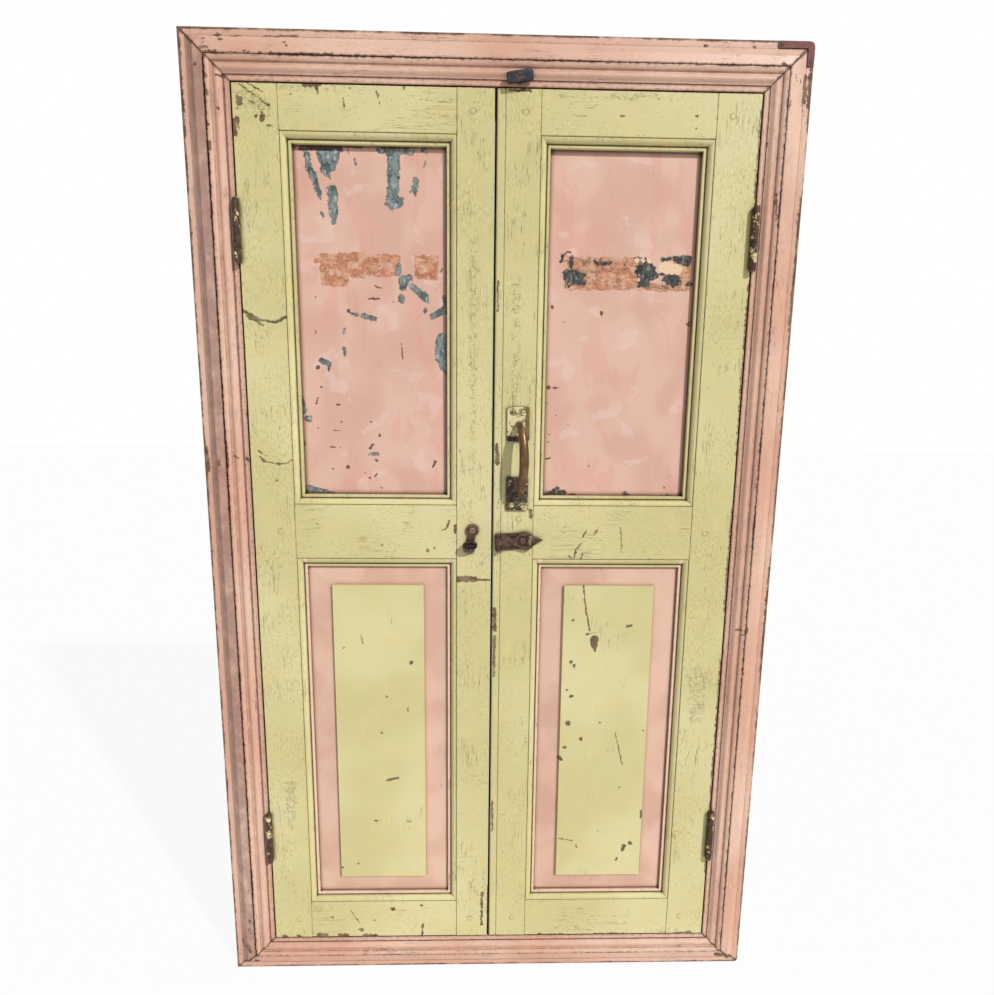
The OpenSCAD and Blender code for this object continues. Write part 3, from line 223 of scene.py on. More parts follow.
# %% Finishes
class Finish:
    """One material, built up step by step."""

    def __init__(self, name):
        self.material = bpy.data.materials.new(name)
        self.material.use_nodes = True
        self.nodes = self.material.node_tree.nodes
        self.links = self.material.node_tree.links
        self.nodes.clear()
        self.skin = self.nodes.new("ShaderNodeBsdfPrincipled")
        out = self.nodes.new("ShaderNodeOutputMaterial")
        self.links.new(self.skin.outputs[0], out.inputs["Surface"])
        spot = self.nodes.new("ShaderNodeTexCoord")
        self.place = self.vector(
            "MULTIPLY_ADD", Wire(self, spot.outputs["Object"]),
            (1000, 1000, 1000), (0, 0, MIDDLE))
        self.x, self.y, self.z = self.parts(self.place)
        self.nx, self.ny = self.parts(Wire(self, spot.outputs["Normal"]))[:2]
        self.front = self.step(self.ny, 0.5, 0.3)  # 0 on faces turned to the wall
        self.count = 0

    def plug(self, socket, value):
        if isinstance(value, Wire):
            self.links.new(value.socket, socket)
        elif value is not None:
            socket.default_value = value

    def parts(self, wire):
        node = self.nodes.new("ShaderNodeSeparateXYZ")
        self.plug(node.inputs[0], wire)
        return [Wire(self, s) for s in node.outputs]

    def math(self, sort, a, b=None, c=None, clamp=False):
        node = self.nodes.new("ShaderNodeMath")
        node.operation, node.use_clamp = sort, clamp
        for socket, value in zip(node.inputs, (a, b, c)):
            self.plug(socket, value)
        return Wire(self, node.outputs[0])

    def vector(self, sort, a, b=None, c=None):
        node = self.nodes.new("ShaderNodeVectorMath")
        node.operation = sort
        for socket, value in zip(node.inputs, (a, b, c)):
            self.plug(socket, value)
        return Wire(self, node.outputs["Vector"])

    def step(self, value, low, high):
        """0 below low, 1 above high, a smooth rise between."""
        node = self.nodes.new("ShaderNodeMapRange")
        node.interpolation_type = "SMOOTHSTEP"
        self.plug(node.inputs["Value"], value)
        self.plug(node.inputs["From Min"], low)
        self.plug(node.inputs["From Max"], high)
        return Wire(self, node.outputs["Result"])

    def near(self, value, middle, reach):
        """1 where value is at middle, 0 from reach away."""
        return 1 - self.step(abs(value - middle), 0, reach)

    def mix(self, share, a, b):
        node = self.nodes.new("ShaderNodeMix")
        node.data_type = "RGBA"
        self.plug(node.inputs[0], share)
        self.plug(node.inputs[6], a)
        self.plug(node.inputs[7], b)
        return Wire(self, node.outputs[2])

    def layers(self, colour, *coats):
        """Lays coats over a colour. A coat is how much of it there is, and its colour."""
        for share, paint in coats:
            colour = self.mix(share, colour, paint)
        return colour

    def spread(self, size, stretch=(1, 1, 1)):
        """Places scaled so that one unit is size millimetres, moved for each use."""
        self.count += 1
        scale = tuple(1 / (size * s) for s in stretch)
        shift = (self.count * 3.71, self.count * 1.93, self.count * 2.47)
        return self.vector("MULTIPLY_ADD", self.place, scale, shift)

    def cloud(self, size, stretch=(1, 1, 1), detail=3, rough=0.5, bend=0):
        node = self.nodes.new("ShaderNodeTexNoise")
        self.plug(node.inputs["Vector"], self.spread(size, stretch))
        node.inputs["Scale"].default_value = 1
        node.inputs["Detail"].default_value = detail
        node.inputs["Roughness"].default_value = rough
        node.inputs["Distortion"].default_value = bend
        return Wire(self, node.outputs[0])

    def blot(self, low, high, *size, **how):
        """0 to 1 in blots, where a cloud rises from low to high."""
        return self.step(self.cloud(*size, **how), low, high)

    def web(self, size, stretch, ragged):
        """How far a place is from the threads of a ragged web, in meshes of it."""
        node = self.nodes.new("ShaderNodeTexVoronoi")
        node.feature = "DISTANCE_TO_EDGE"
        where = self.vector("ADD", self.spread(size, stretch), self.wobble(size * 0.4, ragged))
        self.plug(node.inputs["Vector"], where)
        node.inputs["Scale"].default_value = 1
        return Wire(self, node.outputs["Distance"])

    def wobble(self, size, amount):
        """A small sideways push that varies with place."""
        node = self.nodes.new("ShaderNodeTexNoise")
        self.plug(node.inputs["Vector"], self.spread(size))
        node.inputs["Scale"].default_value = 1
        centred = self.vector("SUBTRACT", Wire(self, node.outputs["Color"]), (0.5,) * 3)
        return self.vector("MULTIPLY", centred, (amount,) * 3)

    def pores(self, size, share, radius, stretch=(1, 1, 1)):
        """Small round specks: a share of the cells holds one, of up to radius cells."""
        node = self.nodes.new("ShaderNodeTexVoronoi")
        self.plug(node.inputs["Vector"], self.spread(size, stretch))
        node.inputs["Scale"].default_value = 1
        lot = self.parts(Wire(self, node.outputs["Color"]))
        chosen = self.step(lot[0], 1 - share, 1 - share + 0.01)
        reach = chosen * (0.3 + lot[1] * 0.7) * radius
        return self.step(reach - Wire(self, node.outputs["Distance"]), 0, radius * 0.3)

    def pushed(self, ragged, size=4.0):
        """x and z, pushed about by up to ragged mm, so that a mark's edge is torn."""
        far = self.vector("ADD", self.wobble(size, ragged * 2.2), self.wobble(size / 3, ragged))
        push = self.parts(far)
        return self.x + push[0], self.z + push[2]

    def strokes(self, marks, ragged=1.0, size=4.0):
        """How far inside the nearest of the marks a place is, in millimetres.
        A spot is its x, z and radius, a stroke its start, its run and both end radii."""
        x, z = self.pushed(ragged, size)
        inside = None
        for x0, z0, *how in marks:
            run_x, run_z, r0, r1 = how if len(how) == 4 else (0, 0, *how, *how)
            long = run_x ** 2 + run_z ** 2
            dx, dz = x - x0, z - z0
            if long:
                along = self.math("ADD", dx * (run_x / long), dz * (run_z / long), clamp=True)
                dx, dz = dx - along * run_x, dz - along * run_z
                mark = along * (r1 - r0) + (r0 - self.math("SQRT", dx * dx + dz * dz))
            else:
                mark = r0 - self.math("SQRT", dx * dx + dz * dz)
            inside = mark if inside is None else inside | mark
        return inside

    def patches(self, boxes, ragged=1.0, size=6.0):
        """How far inside the nearest of the upright boxes x0, z0, x1, z1 a place is."""
        x, z = self.pushed(ragged, size)
        inside = None
        for x0, z0, x1, z1 in boxes:
            wide = (x1 - x0) / 2 - abs(x - (x0 + x1) / 2)
            high = (z1 - z0) / 2 - abs(z - (z0 + z1) / 2)
            box = wide & high
            inside = box if inside is None else inside | box
        return inside

    def shade(self, reach, inside=False, samples=6):
        """1 in the open, less in a corner within reach mm; inside finds sharp edges."""
        node = self.nodes.new("ShaderNodeAmbientOcclusion")
        node.inputs["Distance"].default_value = reach / 1000
        node.samples, node.inside, node.only_local = samples, inside, inside
        return Wire(self, node.outputs["AO"])

    def finish(self, colour, roughness, metal=0.0, height=None):
        """Plugs colour, roughness, metal and a height in mm into the skin."""
        self.plug(self.skin.inputs["Base Color"], colour)
        self.plug(self.skin.inputs["Roughness"], roughness)
        self.plug(self.skin.inputs["Metallic"], metal)
        if height is not None:
            bump = self.nodes.new("ShaderNodeBump")
            bump.inputs["Distance"].default_value = 0.001
            self.plug(bump.inputs["Height"], height)
            self.links.new(bump.outputs[0], self.skin.inputs["Normal"])
        return self.material


def dress(finish, *names):
    """Gives these nodes the finish."""
    for name in names:
        NODES[name].data.materials.clear()
        NODES[name].data.materials.append(finish)


print("a finish starts with", len(Finish("trial").nodes), "nodes")
bpy.data.materials.remove(bpy.data.materials["trial"])

# %% [markdown]
# ## Bare wood
# The boards under the paint are softwood gone brown with age. Growth rings show as
# bands that run with the board, with darker pores between them. A noise stretched along
# the board gives the rings, and a finer one the pores.

# %% Bare wood
RUNS = {"up": (1, 1, 18), "across": (18, 1, 1)}
OLD_PINE, DARK_PINE = tint(150, 118, 84), tint(104, 78, 54)


def grain(f, run):
    """Colour and height of bare board whose fibres run up or across."""
    ring = f.cloud(13, RUNS[run], 2, bend=0.6)
    band = f.math("SINE", ring * 48) * 0.5 + 0.5
    pore = f.cloud(0.9, tuple(s * 1.6 for s in RUNS[run]), 4)
    colour = f.mix(band * 0.55, OLD_PINE, DARK_PINE)
    colour = f.mix(f.step(pore, 0.5, 0.75) * 0.7, colour, tint(66, 48, 34))
    stain = f.blot(0.5, 0.72, 70, detail=4)
    return f.mix(stain * 0.5, colour, tint(92, 76, 60)), band * 0.06 + pore * -0.12


def bare_board(name, run):
    f = Finish(name)
    colour, height = grain(f, run)
    edge = f.step(1 - f.shade(2.0, inside=True), 0.15, 0.6)
    colour = f.mix(edge * 0.5, colour, tint(176, 148, 112))
    # Painted shade: darker within 9 mm of a corner
    hollow = 1 - f.step(f.shade(9), 0.4, 0.95)
    return f.finish(f.mix(hollow * 0.7, colour, tint(52, 40, 30)), 0.82, 0.0, height)


dress(bare_board("bare_board", "up"), "backing_board", "corner_tongues")
print("bare boards dressed")

# %% [markdown]
# ## Old paint on wood
# The doors wear a pale yellow-green, the frame a chalky pink. Both were brushed on in
# several coats. Dirt and painted shade darken every hollow, edges have worn to the wood,
# and the coat has split along the fibres. Dirt and painted shade come from how closed in
# a place is, wear from how sharp an edge is, so both fall where they would in life, also
# inside the doors. Marks that are too particular for chance are given by their place.

# %% Coats
SEAM_IN = 29.2  # the seam inside the outer moulding lies this far from the edge
CHIPPED = 0.755  # paint has chipped where a cloud is above this
MOULDING_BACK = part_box("outer_moulding_left")[1].y * 1000  # dents stay in front of this
GREEN = {
    "light": tint(221, 212, 160), "deep": tint(208, 198, 141), "warm": tint(222, 206, 138),
    "dirt_and_shade": tint(112, 92, 36), "crack": tint(78, 62, 26), "under": tint(112, 88, 54),
    "dim": tint(178, 164, 98), "pale": tint(236, 226, 172), "grey": tint(134, 124, 90),
    "line": tint(84, 70, 30),
}
PINK = {
    "light": tint(228, 190, 168), "deep": tint(212, 164, 141), "warm": tint(226, 182, 148),
    "dirt_and_shade": tint(112, 62, 50), "crack": tint(72, 34, 26), "under": tint(104, 74, 58),
    "dim": tint(192, 136, 112), "pale": tint(240, 206, 184), "grey": tint(136, 112, 92),
    "line": tint(66, 28, 18),
}


def frame_seam(f, rim, rag):
    """Dark line where the outer moulding meets the frame, torn and of uneven width:
    a dark joint with painted shade in its deep quirk.
    """
    out = (abs(f.x) - rim[0]) | (abs(f.z) - rim[1])
    width = (f.cloud(45, detail=3) - 0.5) * 2.6 + (rag - 0.5) * 4.2 + 1.45
    return out, f.step(width - abs(out + SEAM_IN), -0.25, 0.35)


def old_paint(name, coat, run, marks=(), lines=(), wear=0.5, reach=1.6,
              craze=(), grit=0.5, back=False, rim=None, deep=(0.46, 0.66), spill=None):
    """Paint on a board. wear is how far edges are rubbed, within reach mm of them. craze
    gives the places where the coat has crazed, grit how rough it is, back whether the
    back is bare, rim the half size of a frame whose outer edge is worn, deep how open a
    hollow may be and still be dark, and spill the box of a moulding whose inner fillet
    took the panel's pink."""
    f = Finish(name)
    along = RUNS[run]
    streak = f.cloud(1.3, along, 4, 0.6)
    mottle = f.cloud(20, detail=5, rough=0.62)
    fibre = f.cloud(1.9, tuple(s ** 0.35 for s in along), 4, 0.7)
    colour = f.mix(f.blot(0.35, 0.65, 150, detail=2), coat["light"], coat["deep"])
    colour = f.layers(
        colour, (f.step(mottle, 0.45, 0.75) * 0.55, coat["warm"]),
        (f.step(streak, 0.48, 0.8) * 0.35, coat["deep"]))
    patchy = f.blot(0.42, 0.62, 45, detail=3) * grit + 0.2
    colour = f.layers(
        colour, (f.step(fibre, 0.5, 0.72) * patchy, coat["dim"]),
        (f.step(fibre, 0.46, 0.3) * patchy * 0.6, coat["pale"]))
    if spill:
        low, high = spill
        inner = (f.x - low.x * 1000) & (high.x * 1000 - f.x) & (f.z - low.z * 1000 - MIDDLE)
        inner = inner + (f.cloud(6, detail=4) - 0.5) * 1.2
        colour = f.mix(f.step(inner, 7.2, 7.6) * f.step(inner, 11.2, 10.8), colour, PINK["pale"])
    pits = f.pores(8, 0.4, 0.09) | f.pores(3.2, 0.2, 0.13)
    flecks = f.pores(2.4, 0.5, 0.24) * f.blot(0.57, 0.63, 24, detail=3)
    pits = pits | flecks
    split = f.near(f.cloud(3.0, tuple(s * 1.3 for s in along), 3), 0.5, 0.010)
    split = split * f.blot(0.52, 0.6, 48, detail=3)
    if craze:
        web = f.near(f.web(3.4, (1.5, 1, 0.8), 1.6), 0, 0.08)
        web = web * f.blot(0.44, 0.54, 4, detail=4)
        split = split | (web * f.step(f.strokes(craze, 5, 8), -2, 3))
    rag = f.cloud(5, detail=6, rough=0.65)
    edge = 1 - f.shade(reach, inside=True)
    rub = edge * wear + (rag - 0.5) * 0.9
    if rim:
        out, joint = frame_seam(f, rim, rag)
        # Painted shade: a purple-grey tint in the outer moulding's hollow on the left side only, the
        # side turned from the lamp
        hollow = f.step(out, -8, -11) * f.step(out, -29, -25) * f.step(f.x, -290, -292)
        colour = f.mix(hollow * f.step(mottle, 0.3, 0.6) * 0.5, colour, tint(134, 96, 96))
        out = f.step(out, -5.5, -0.5) * f.blot(0.3, 0.6, 30, detail=3)
        rub = rub + out * 0.5
    bare = f.step(rub, 0.36, 0.40) | f.blot(CHIPPED, CHIPPED + 0.012, 13, detail=7, rough=0.66)
    worn = bare | (f.step(rub, 0.18, 0.38) * 0.55)
    if marks:
        bite = (rag - 0.5) * 4.6 + (f.cloud(1.3, detail=3) - 0.5) * 2.6
        inside = f.strokes(marks, 1.7) + bite
        if rim:
            inside = inside - f.step(f.y, MOULDING_BACK - 1, MOULDING_BACK + 1) * 20
        bare = bare | (f.step(inside, 0.05, 0.25) * f.front)
        # A dark rim round each mark: dirt at the paint's torn edge and a painted shadow of that edge
        worn = worn | (f.step(inside, -0.5, 0.1) * f.front)
    wood = grain(f, run)[0]
    under = f.mix(f.blot(0.4, 0.6, 7, detail=4), coat["under"], coat["crack"])
    under = f.mix(f.blot(0.48, 0.6, 13, detail=4), under, coat["grey"])
    wood = f.mix(0.7, wood, under)
    colour = f.layers(
        colour, ((pits | split) * 0.75, coat["crack"]), (worn * 0.65, coat["crack"]), (bare, wood))
    # Dirt and painted shade: the paint darkens softly within 5 mm of a corner
    closed = f.shade(5)
    soft = (1 - f.step(closed, 0.6, 0.97)) * (f.blot(0.36, 0.6, 11, detail=4) * 0.6 + 0.4)
    # Painted shade and dirt: a dark line in the deepest corners and seams
    seam = 1 - f.step(closed + (rag - 0.5) * 0.25, *deep)
    colour = f.layers(
        colour, (soft * 0.5, coat["dirt_and_shade"]), (seam * 0.92, coat["line"]))
    if rim:
        # Painted shade with the dark joint: the torn line where the outer moulding meets the frame
        colour = f.mix(joint * 0.92, colour, coat["line"])
    if lines:
        colour = f.mix(f.step(f.strokes(lines, 0.4), -0.25, 0.1) * 0.85, colour, coat["crack"])
    if back:
        plain = grain(f, run)[0]
        behind = f.step(f.ny + (rag - 0.5) * 0.3, 0.4, 0.5)
        colour = f.mix(behind, colour, plain)
    else:
        # Side faces in narrow gaps, such as the doors' meeting edges, are painted dark brown: dark bare
        # wood with painted shade
        inner = f.step(abs(f.nx) + (rag - 0.5) * 0.2, 0.75, 0.9) * (1 - f.step(f.shade(9), 0.35, 0.7))
        colour = f.mix(inner * 0.8, colour, tint(58, 40, 26))
    height = streak * 0.05 + mottle * 0.12 + split * -0.15 + pits * -0.1 + fibre * 0.05
    rough = f.math("ADD", mottle * 0.25, bare * 0.3) + 0.34
    return f.finish(colour, rough, 0.0, height)


print("coats:", len((GREEN, PINK)))

# %% [markdown]
# ## Frame and outer moulding
# The frame's four members and the moulding round them meet in mitres, which show as a
# thin line at each corner. Their backs were never painted. The moulding took the knocks,
# so its edges are worn and dark, and a few deep dents have their own place.

# %% Frame
HALF_W, HALF_H, MEMBER = 320, 540, 53  # half the frame, and how wide its members are
mitres = [(sx * HALF_W, sz * HALF_H, -sx * MEMBER, -sz * MEMBER, 0.4, 0.4)
          for sx in (-1, 1) for sz in (-1, 1)]
LEFT_DENTS = [
    (-319, 530, 0, -52, 2.4, 2), (-319, 475, 1, -13, 1.8, 1.4), (-319, 455, 1, -15, 1.6, 1),
    (-300, 502, 1.6), (-289, 490, 0, -1, 1.6, 1.6), (-290, 477, 1, -4, 1.8, 1.8), (-289, 445, 1.4),
    (-289, 429, 0, -6, 1.8, 2.1), (-279, 491, 5, 0, 0.8, 0.8), (-279, 461, 1, -1, 1.1, 1.1),
    (-318, 122, 1, -24, 2.6, 3.2), (-318, 94, 0, -8, 1.8, 1), (-301, 108, 0, -3, 2.3, 1.8),
    (-292, 156, 0, -6, 1, 1.2), (-291, 141, -1, -12, 0.6, 0.7), (-290, 123, 0, -19, 2.3, 2.2),
    (-290, 99, -2, -44, 0.6, 0.8), (-282, 114, 4, -1, 0.8, 0.8), (-270, 113, 1, -3, 1.2, 1.4),
    (-267, 162, 0, -5, 0.6, 0.7), (-310, -500, 3, -5, 2.2, 1.9), (-302, -501, 3, -6, 2.9, 2.2),
    (-299, -476, 1, -4, 1.2, 1), (-298, -463, 1, -2, 1, 0.9),
]
RIGHT_DENTS = [
    (312, 506, 0, -23, 2.5, 2.6), (310, 483, 2, -9, 0.6, 0.6), (294, 479, 0, -7, 0.7, 0.8),
    (304, 501, 1, -2, 1, 1), (298, 504, 1, -5, 0.5, 0.5), (273, 439, 0, -3, 0.7, 0.7),
    (280, -82, 5, -1, 1.6, 0.8), (292, -80, 0, -7, 2.3, 2.3), (286, -88, 5, 0, 0.7, 0.8),
    (289, -130, 4, -8, 0.7, 0.5), (292, -167, 1.3), (317, 513, 1, -34, 1.6, 2.3),
    (318, 374, 0, -118, 1.1, 1.5), (286, 390, 2, -24, 1.2, 0.9), (318, -20, 0, -120, 0.8, 1.2),
]
LEVEL_DENTS = [
    (-276, 527, 1, -1, 1.6, 1.3), (-290, 522, 2, 1, 0.7, 0.7), (-267, 513, 4, 0, 0.5, 0.6),
    (-247, 513, 1.3), (-236, 512, 1), (-210, 520, 1), (-283, 532, 7, 1, 1, 0.8),
    (-266, 531, 9, 1, 0.6, 0.8), (-237, 532, 36, 1, 0.7, 1), (-290, 512, 11, 1, 1.8, 1.4),
    (285, 512, 0, 0, 3.1, 2.6), (207, 533, 3, 0, 0.9, 0.8), (257, 533, 2, -1, 0.8, 0.8),
    (-227, -525, 18, 0, 1.4, 1.6), (-293, -520, 3, -1, 1.9, 1.7), (-226, 512.5, 61, 0, 0.9, 1.5),
    (-280, 532, 2), (-293, 528, 1.3), (-251, 514, 1.6), (-213, 524, 1.3), (-294, 517, 7, 0, 1.2, 1.4),
    (-312, -514, 10, -6, 2.5, 3.4), (288, -518, 16, -4, 3.1, 3.9), (306, -532, 8, 2, 2.6, 2.6),
]

for run, names, dents in (
    ("up", ("jamb_left", "outer_moulding_left"), LEFT_DENTS),
    ("up", ("jamb_right", "outer_moulding_right"), RIGHT_DENTS),
    ("across", ("frame_head", "frame_sill", "outer_moulding_top", "outer_moulding_bottom"),
     LEVEL_DENTS),
):
    dress(old_paint("pink_" + names[0], PINK, run, dents, mitres, 1.05, 3.0,
                    back=True, rim=(HALF_W, HALF_H), deep=(0.28, 0.5)), *names)
print("frame members dressed")

# %% [markdown]
# ## Doors
# Stiles run up and rails run across, so each has its own brush marks. The hasp and the
# turn button have scraped the paint, and two old scuffs curve across the left stile.

# %% Doors
DOOR_MARKS = {
    "left_up": [
        (-258, 470, 0, -3, 2.9, 2.8), (-260, 462, 0, 0, 1.5, 1.3), (-242, 455, 1.6),
        (-236, 455, 0, -3, 2.1, 2.1), (-236, 459, 1), (-232, 447, 6, -1, 0.7, 0.5),
        (-231, 466, 2, 0, 1, 1.1), (-247, 469, 3, -2, 1.1, 0.8), (-264, 451, 0, -13, 1.6, 2),
        (-256, 120, 8, -5, 0.8, 0.4), (-255, 114, 4, -5, 1.1, 1.7), (-251, 109, 5, -1, 1.2, 0.9),
        (-246, 108, 9, -2, 0.6, 0.8), (-237, 106, 10, 1, 0.8, 0.6), (-227, 107, 6, 3, 0.6, 0.8),
        (-233, 145, 0, -1, 0.7, 0.5), (-235, 126, 0.7), (-239, 87, 0.9), (-238, 74, 0.7),
        (-265, 267, 15, -9, 1.7, 1.7), (-250, 258, 18, -2, 1.5, 1.2), (-232, 256, 18, 9, 1.2, 1.7),
        (-262, 262, 16, -9, 1, 1), (-41, -23, 19, 0, 3.6, 3.2), (-18, -24, 12, 0, 0.9, 0.9),
        (-261, 453, 1, -9, 2, 0.7), (-231, 447, 3, 0, 0.8, 0.8), (-260, 472, 3, -5, 1.7, 1.5),
        (-257, 484, 27, -19, 0.4, 0.5), (-250, 486, 15, -9, 0.3, 0.4), (-256, -484, 4, -2, 2.2, 1.7),
        (-239, -484, 4, -2, 1.8, 1.8), (-11, -425, 0, -45, 1.6, 1.2)],
    "left_across": [
        (-51, 44, -2, -7, 0.9, 0.9), (-53, 37, -5, -4, 0.9, 0.6), (-44, 38, 0, -8, 1.6, 1.2),
        (-125, 16, 1.3), (-75, 10, 1.8), (-67, 13, 1), (-121, -447, 2.5), (-85, -443, 1.6),
        (-195, -458, 1.1), (-144, -463, 1.1), (-172, -450, 9, -15, 0.7, 0.7), (-160, -476, 2.8),
        (-157, -485, 15, 0, 2.7, 2.5), (-213, -483, 10, 0, 2.2, 1.7), (-188, -483, 10, -1, 1.5, 2),
        (-84, -469, -1, -17, 0.9, 0.9), (-30, -465, 2.2), (-207, 476, 0.8), (-155, 473, 0, -7, 0.6, 0.8),
        (-148, 482, 0.8), (-122, 480, 1, -6, 0.5, 0.7), (-120, 470, 1, -2, 0.6, 0.4),
        (-95, 489, 0, -6, 0.6, 0.8), (-194, 484, 23, 2, 2, 1.2), (-182, 484, 2, -7, 2.2, 0.8)],
    "right_up": [(39, 56, 1, -8, 1.8, 1.3), (10, 484, 21, 0, 1.2, 1.4), (264.6, 470, 0, -140, 0.5, 0.8),
                 (264.8, 300, 0, -180, 0.8, 0.4), (264.6, 60, 0, -120, 0.4, 0.8),
                 (264.6, -120, 0.2, -280, 0.6, 0.8), (252, -484, -22, -1, 1.2, 0.8)],
    "right_across": [(118, 40, -6, -10, 0.5, 0.5), (102, 33, -3, -6, 0.7, 0.7),
                     (98, 19, -6, -7, 0.8, 0.7), (91, 11, -1, -8, 0.7, 0.7), (83, 5, 9, -7, 0.7, 0.7),
                     (99, 8, -2, -10, 0.7, 0.6), (84, -2, 17, 0, 0.6, 0.6), (141, 37, 2, -27, 0.6, 0.4),
                     (200, 464, 1), (200, 452, 1), (122, 462, 4, 0, 0.8, 0.6), (60, -485, 30, 0, 1, 0.6),
                     (130, -485, 40, -1, 0.8, 1.2)],
    "bead": [(1, 129, 1, -20, 1.7, 2.4), (0.6, -58, 0.6, -26, 1.6, 2), (0.8, -92, -0.2, -48, 1.8, 1),
             (0.5, 300, 0.1, -30, 0.8, 1), (0.6, -300, 0, -40, 1, 0.7)],
}
CRAZED = {
    "left_up": [(-258, 480, 26, -18, 12, 8), (-25, 340, 0, -240, 5, 3), (-240, -280, 0, -50, 8, 6)],
    "left_across": [(-215, 482, 65, 0, 3, 3)],
    "right_up": [(240, -140, 0, -50, 12, 10), (20, 300, 0, -120, 5, 4)],
    "right_across": [(60, 480, 120, 0, 3, 3)],
}
for side in ("left", "right"):
    for run, names in (("up", ("_hinge_stile", "_meeting_stile", "_pegs")),
                       ("across", ("_top_rail", "_lock_rail", "_bottom_rail"))):
        key = side + "_" + run
        dress(old_paint("green_" + key, GREEN, run, DOOR_MARKS[key], wear=0.75, craze=CRAZED[key],
                        grit=0.9 if run == "up" else 0.55),
              *(side + n for n in names))
    for place in ("_upper_moulding", "_lower_moulding"):
        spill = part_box(side + place) if place == "_lower_moulding" else None
        dress(old_paint(side + place + "_paint", GREEN, "up", wear=0.75, deep=(0.5, 0.72), spill=spill),
              side + place)
dress(old_paint("green_bead", GREEN, "up", DOOR_MARKS["bead"], wear=0.9), "right_meeting_bead")
print("door boards dressed")

# %% [markdown]
# ## Raised wooden panels
# The lower panels are one board each: a green field raised above a pink margin. The
# brush left the margin's pink a little over the field's edge.

# %% Raised panels
FIELD_IN_X, FIELD_IN_Z = 44, 39  # from the panel's hidden edge in to its field
FIELD_MARKS = {
    "left": [
        (-95, -124, 0, -1, 2.3, 2.3), (-124, -274, 12, 3, 1.9, 1.4), (-141, -328, 6, 0, 0.7, 0.7),
        (-102, -329, 5, 0, 0.7, 0.7), (-124, -167, 1.2), (-130, -213, 1.2), (-172, -107, 1.1),
        (-181, -391, 1.5), (-162, -386, 1.2), (-152, -92, 2, -9, 0.6, 0.5), (-99, -182, 0, -4, 1, 0.8)],
    "right": [
        (117, -96, 0, -6, 5.1, 4.2), (117, -106, 1, -5, 2.2, 0.7), (102, -32, 3, -25, 0.8, 0.7),
        (105, -57, 6, -29, 0.7, 0.9), (107, -90, 14, 3, 0.9, 0.4), (155, -80, 4, 1, 1.8, 1.1),
        (91, -73, 1.3), (91, -124, 2.2), (94, -128, 1, -3, 1.8, 1.3), (87, -159, 1.1),
        (91, -167, 3, 0, 1.8, 1.4), (89, -201, 3.2), (105, -221, 2.1), (86, -232, 2.1), (127, -200, 1.1),
        (80, -246, 2, -2, 3.2, 1.8), (154, -247, 2, -8, 0.7, 0.7), (146, -214, 8, -33, 0.5, 0.5),
        (170, -360, 1, -1, 2.4, 1.9), (163, -364, -2, -6, 2.4, 1.7), (155, -381, -1, -2, 1.4, 1.2),
        (82, -353, 17, -4, 0.7, 0.5), (104, -362, 1, -4, 0.9, 0.9), (154, -285, 1.2), (130, -343, 0.9),
        (179, -211, 1.1), (182, -316, 0, -10, 1.2, 1.2)],
}


def raised_panel(name, node, marks):
    f = Finish(name)
    low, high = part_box(node)
    x0, x1 = low.x * 1000 + FIELD_IN_X, high.x * 1000 - FIELD_IN_X
    z0, z1 = low.z * 1000 + MIDDLE + FIELD_IN_Z, high.z * 1000 + MIDDLE - FIELD_IN_Z
    within = abs(f.x - (x0 + x1) / 2) * -1 + (x1 - x0) / 2
    within = within & (abs(f.z - (z0 + z1) / 2) * -1 + (z1 - z0) / 2)
    stray = (f.cloud(9, detail=3) - 0.5) * 1.6
    green = f.step(within + stray, -0.5, 0.1) | (1 - f.front)
    streak, mottle = f.cloud(1.3, RUNS["up"], 4, 0.6), f.cloud(20, detail=5, rough=0.62)
    field = f.mix(f.blot(0.35, 0.65, 120, detail=2), GREEN["light"], GREEN["deep"])
    field = f.mix(f.step(mottle, 0.45, 0.75) * 0.5, field, GREEN["warm"])
    margin = f.mix(f.blot(0.35, 0.65, 60, detail=3), tint(228, 188, 166), tint(214, 170, 148))
    colour = f.mix(green, margin, field)
    colour = f.mix(f.step(streak, 0.48, 0.8) * 0.3, colour, f.mix(green, PINK["deep"], GREEN["deep"]))
    # Dirt and painted shade: darker within 5 mm of a corner, with a dark line in the deepest ones
    closed = f.shade(5)
    colour = f.layers(
        colour, ((1 - f.step(closed, 0.6, 0.97)) * 0.45, tint(150, 100, 62)),
        ((1 - f.step(closed, 0.5, 0.7)) * 0.9, tint(92, 56, 30)))
    pits = f.pores(8, 0.3, 0.07)
    split = f.near(f.cloud(3.0, (1, 1, 24), 3), 0.5, 0.008)
    split = split * f.blot(0.6, 0.68, 40, detail=3)
    colour = f.mix((pits | split) * 0.8, colour, GREEN["crack"])
    edge, rag = 1 - f.shade(1.6, inside=True), f.cloud(5, detail=6, rough=0.65)
    bare = f.step(edge * 0.5 + (rag - 0.5) * 0.9, 0.36, 0.40)
    inside = f.strokes(marks, 1.4) + (rag - 0.5) * 3.2 + (f.cloud(1.3, detail=3) - 0.5) * 2.2
    inside = inside - (1 - f.front) * 9
    # A dark rim round each mark: dirt at the paint's torn edge and a painted shadow of that edge
    colour = f.mix(f.step(inside, -0.5, 0.1) * 0.4, colour, GREEN["crack"])
    wood = grain(f, "up")[0]
    wood = f.mix(0.6, wood, f.mix(f.blot(0.4, 0.6, 9), tint(84, 66, 44), tint(104, 92, 66)))
    bare = bare | f.step(inside, 0.05, 0.3)
    height = streak * 0.05 + mottle * 0.12 + split * -0.15
    return f.finish(f.mix(bare, colour, wood), mottle * 0.3 + 0.32, 0.0, height)


for side in ("left", "right"):
    dress(raised_panel(side + "_raised_panel", side + "_wood_panel", FIELD_MARKS[side]),
          side + "_wood_panel")
print("raised panels dressed")

# %% [markdown]
# ## Sheet metal panels
# The upper panels are painted sheet. Something was once screwed across both, and its
# band has gone to rust and old primer. Where the pink has flaked the sheet shows,
# blue-grey and a little shiny. The flakes are given by place, with ragged edges.

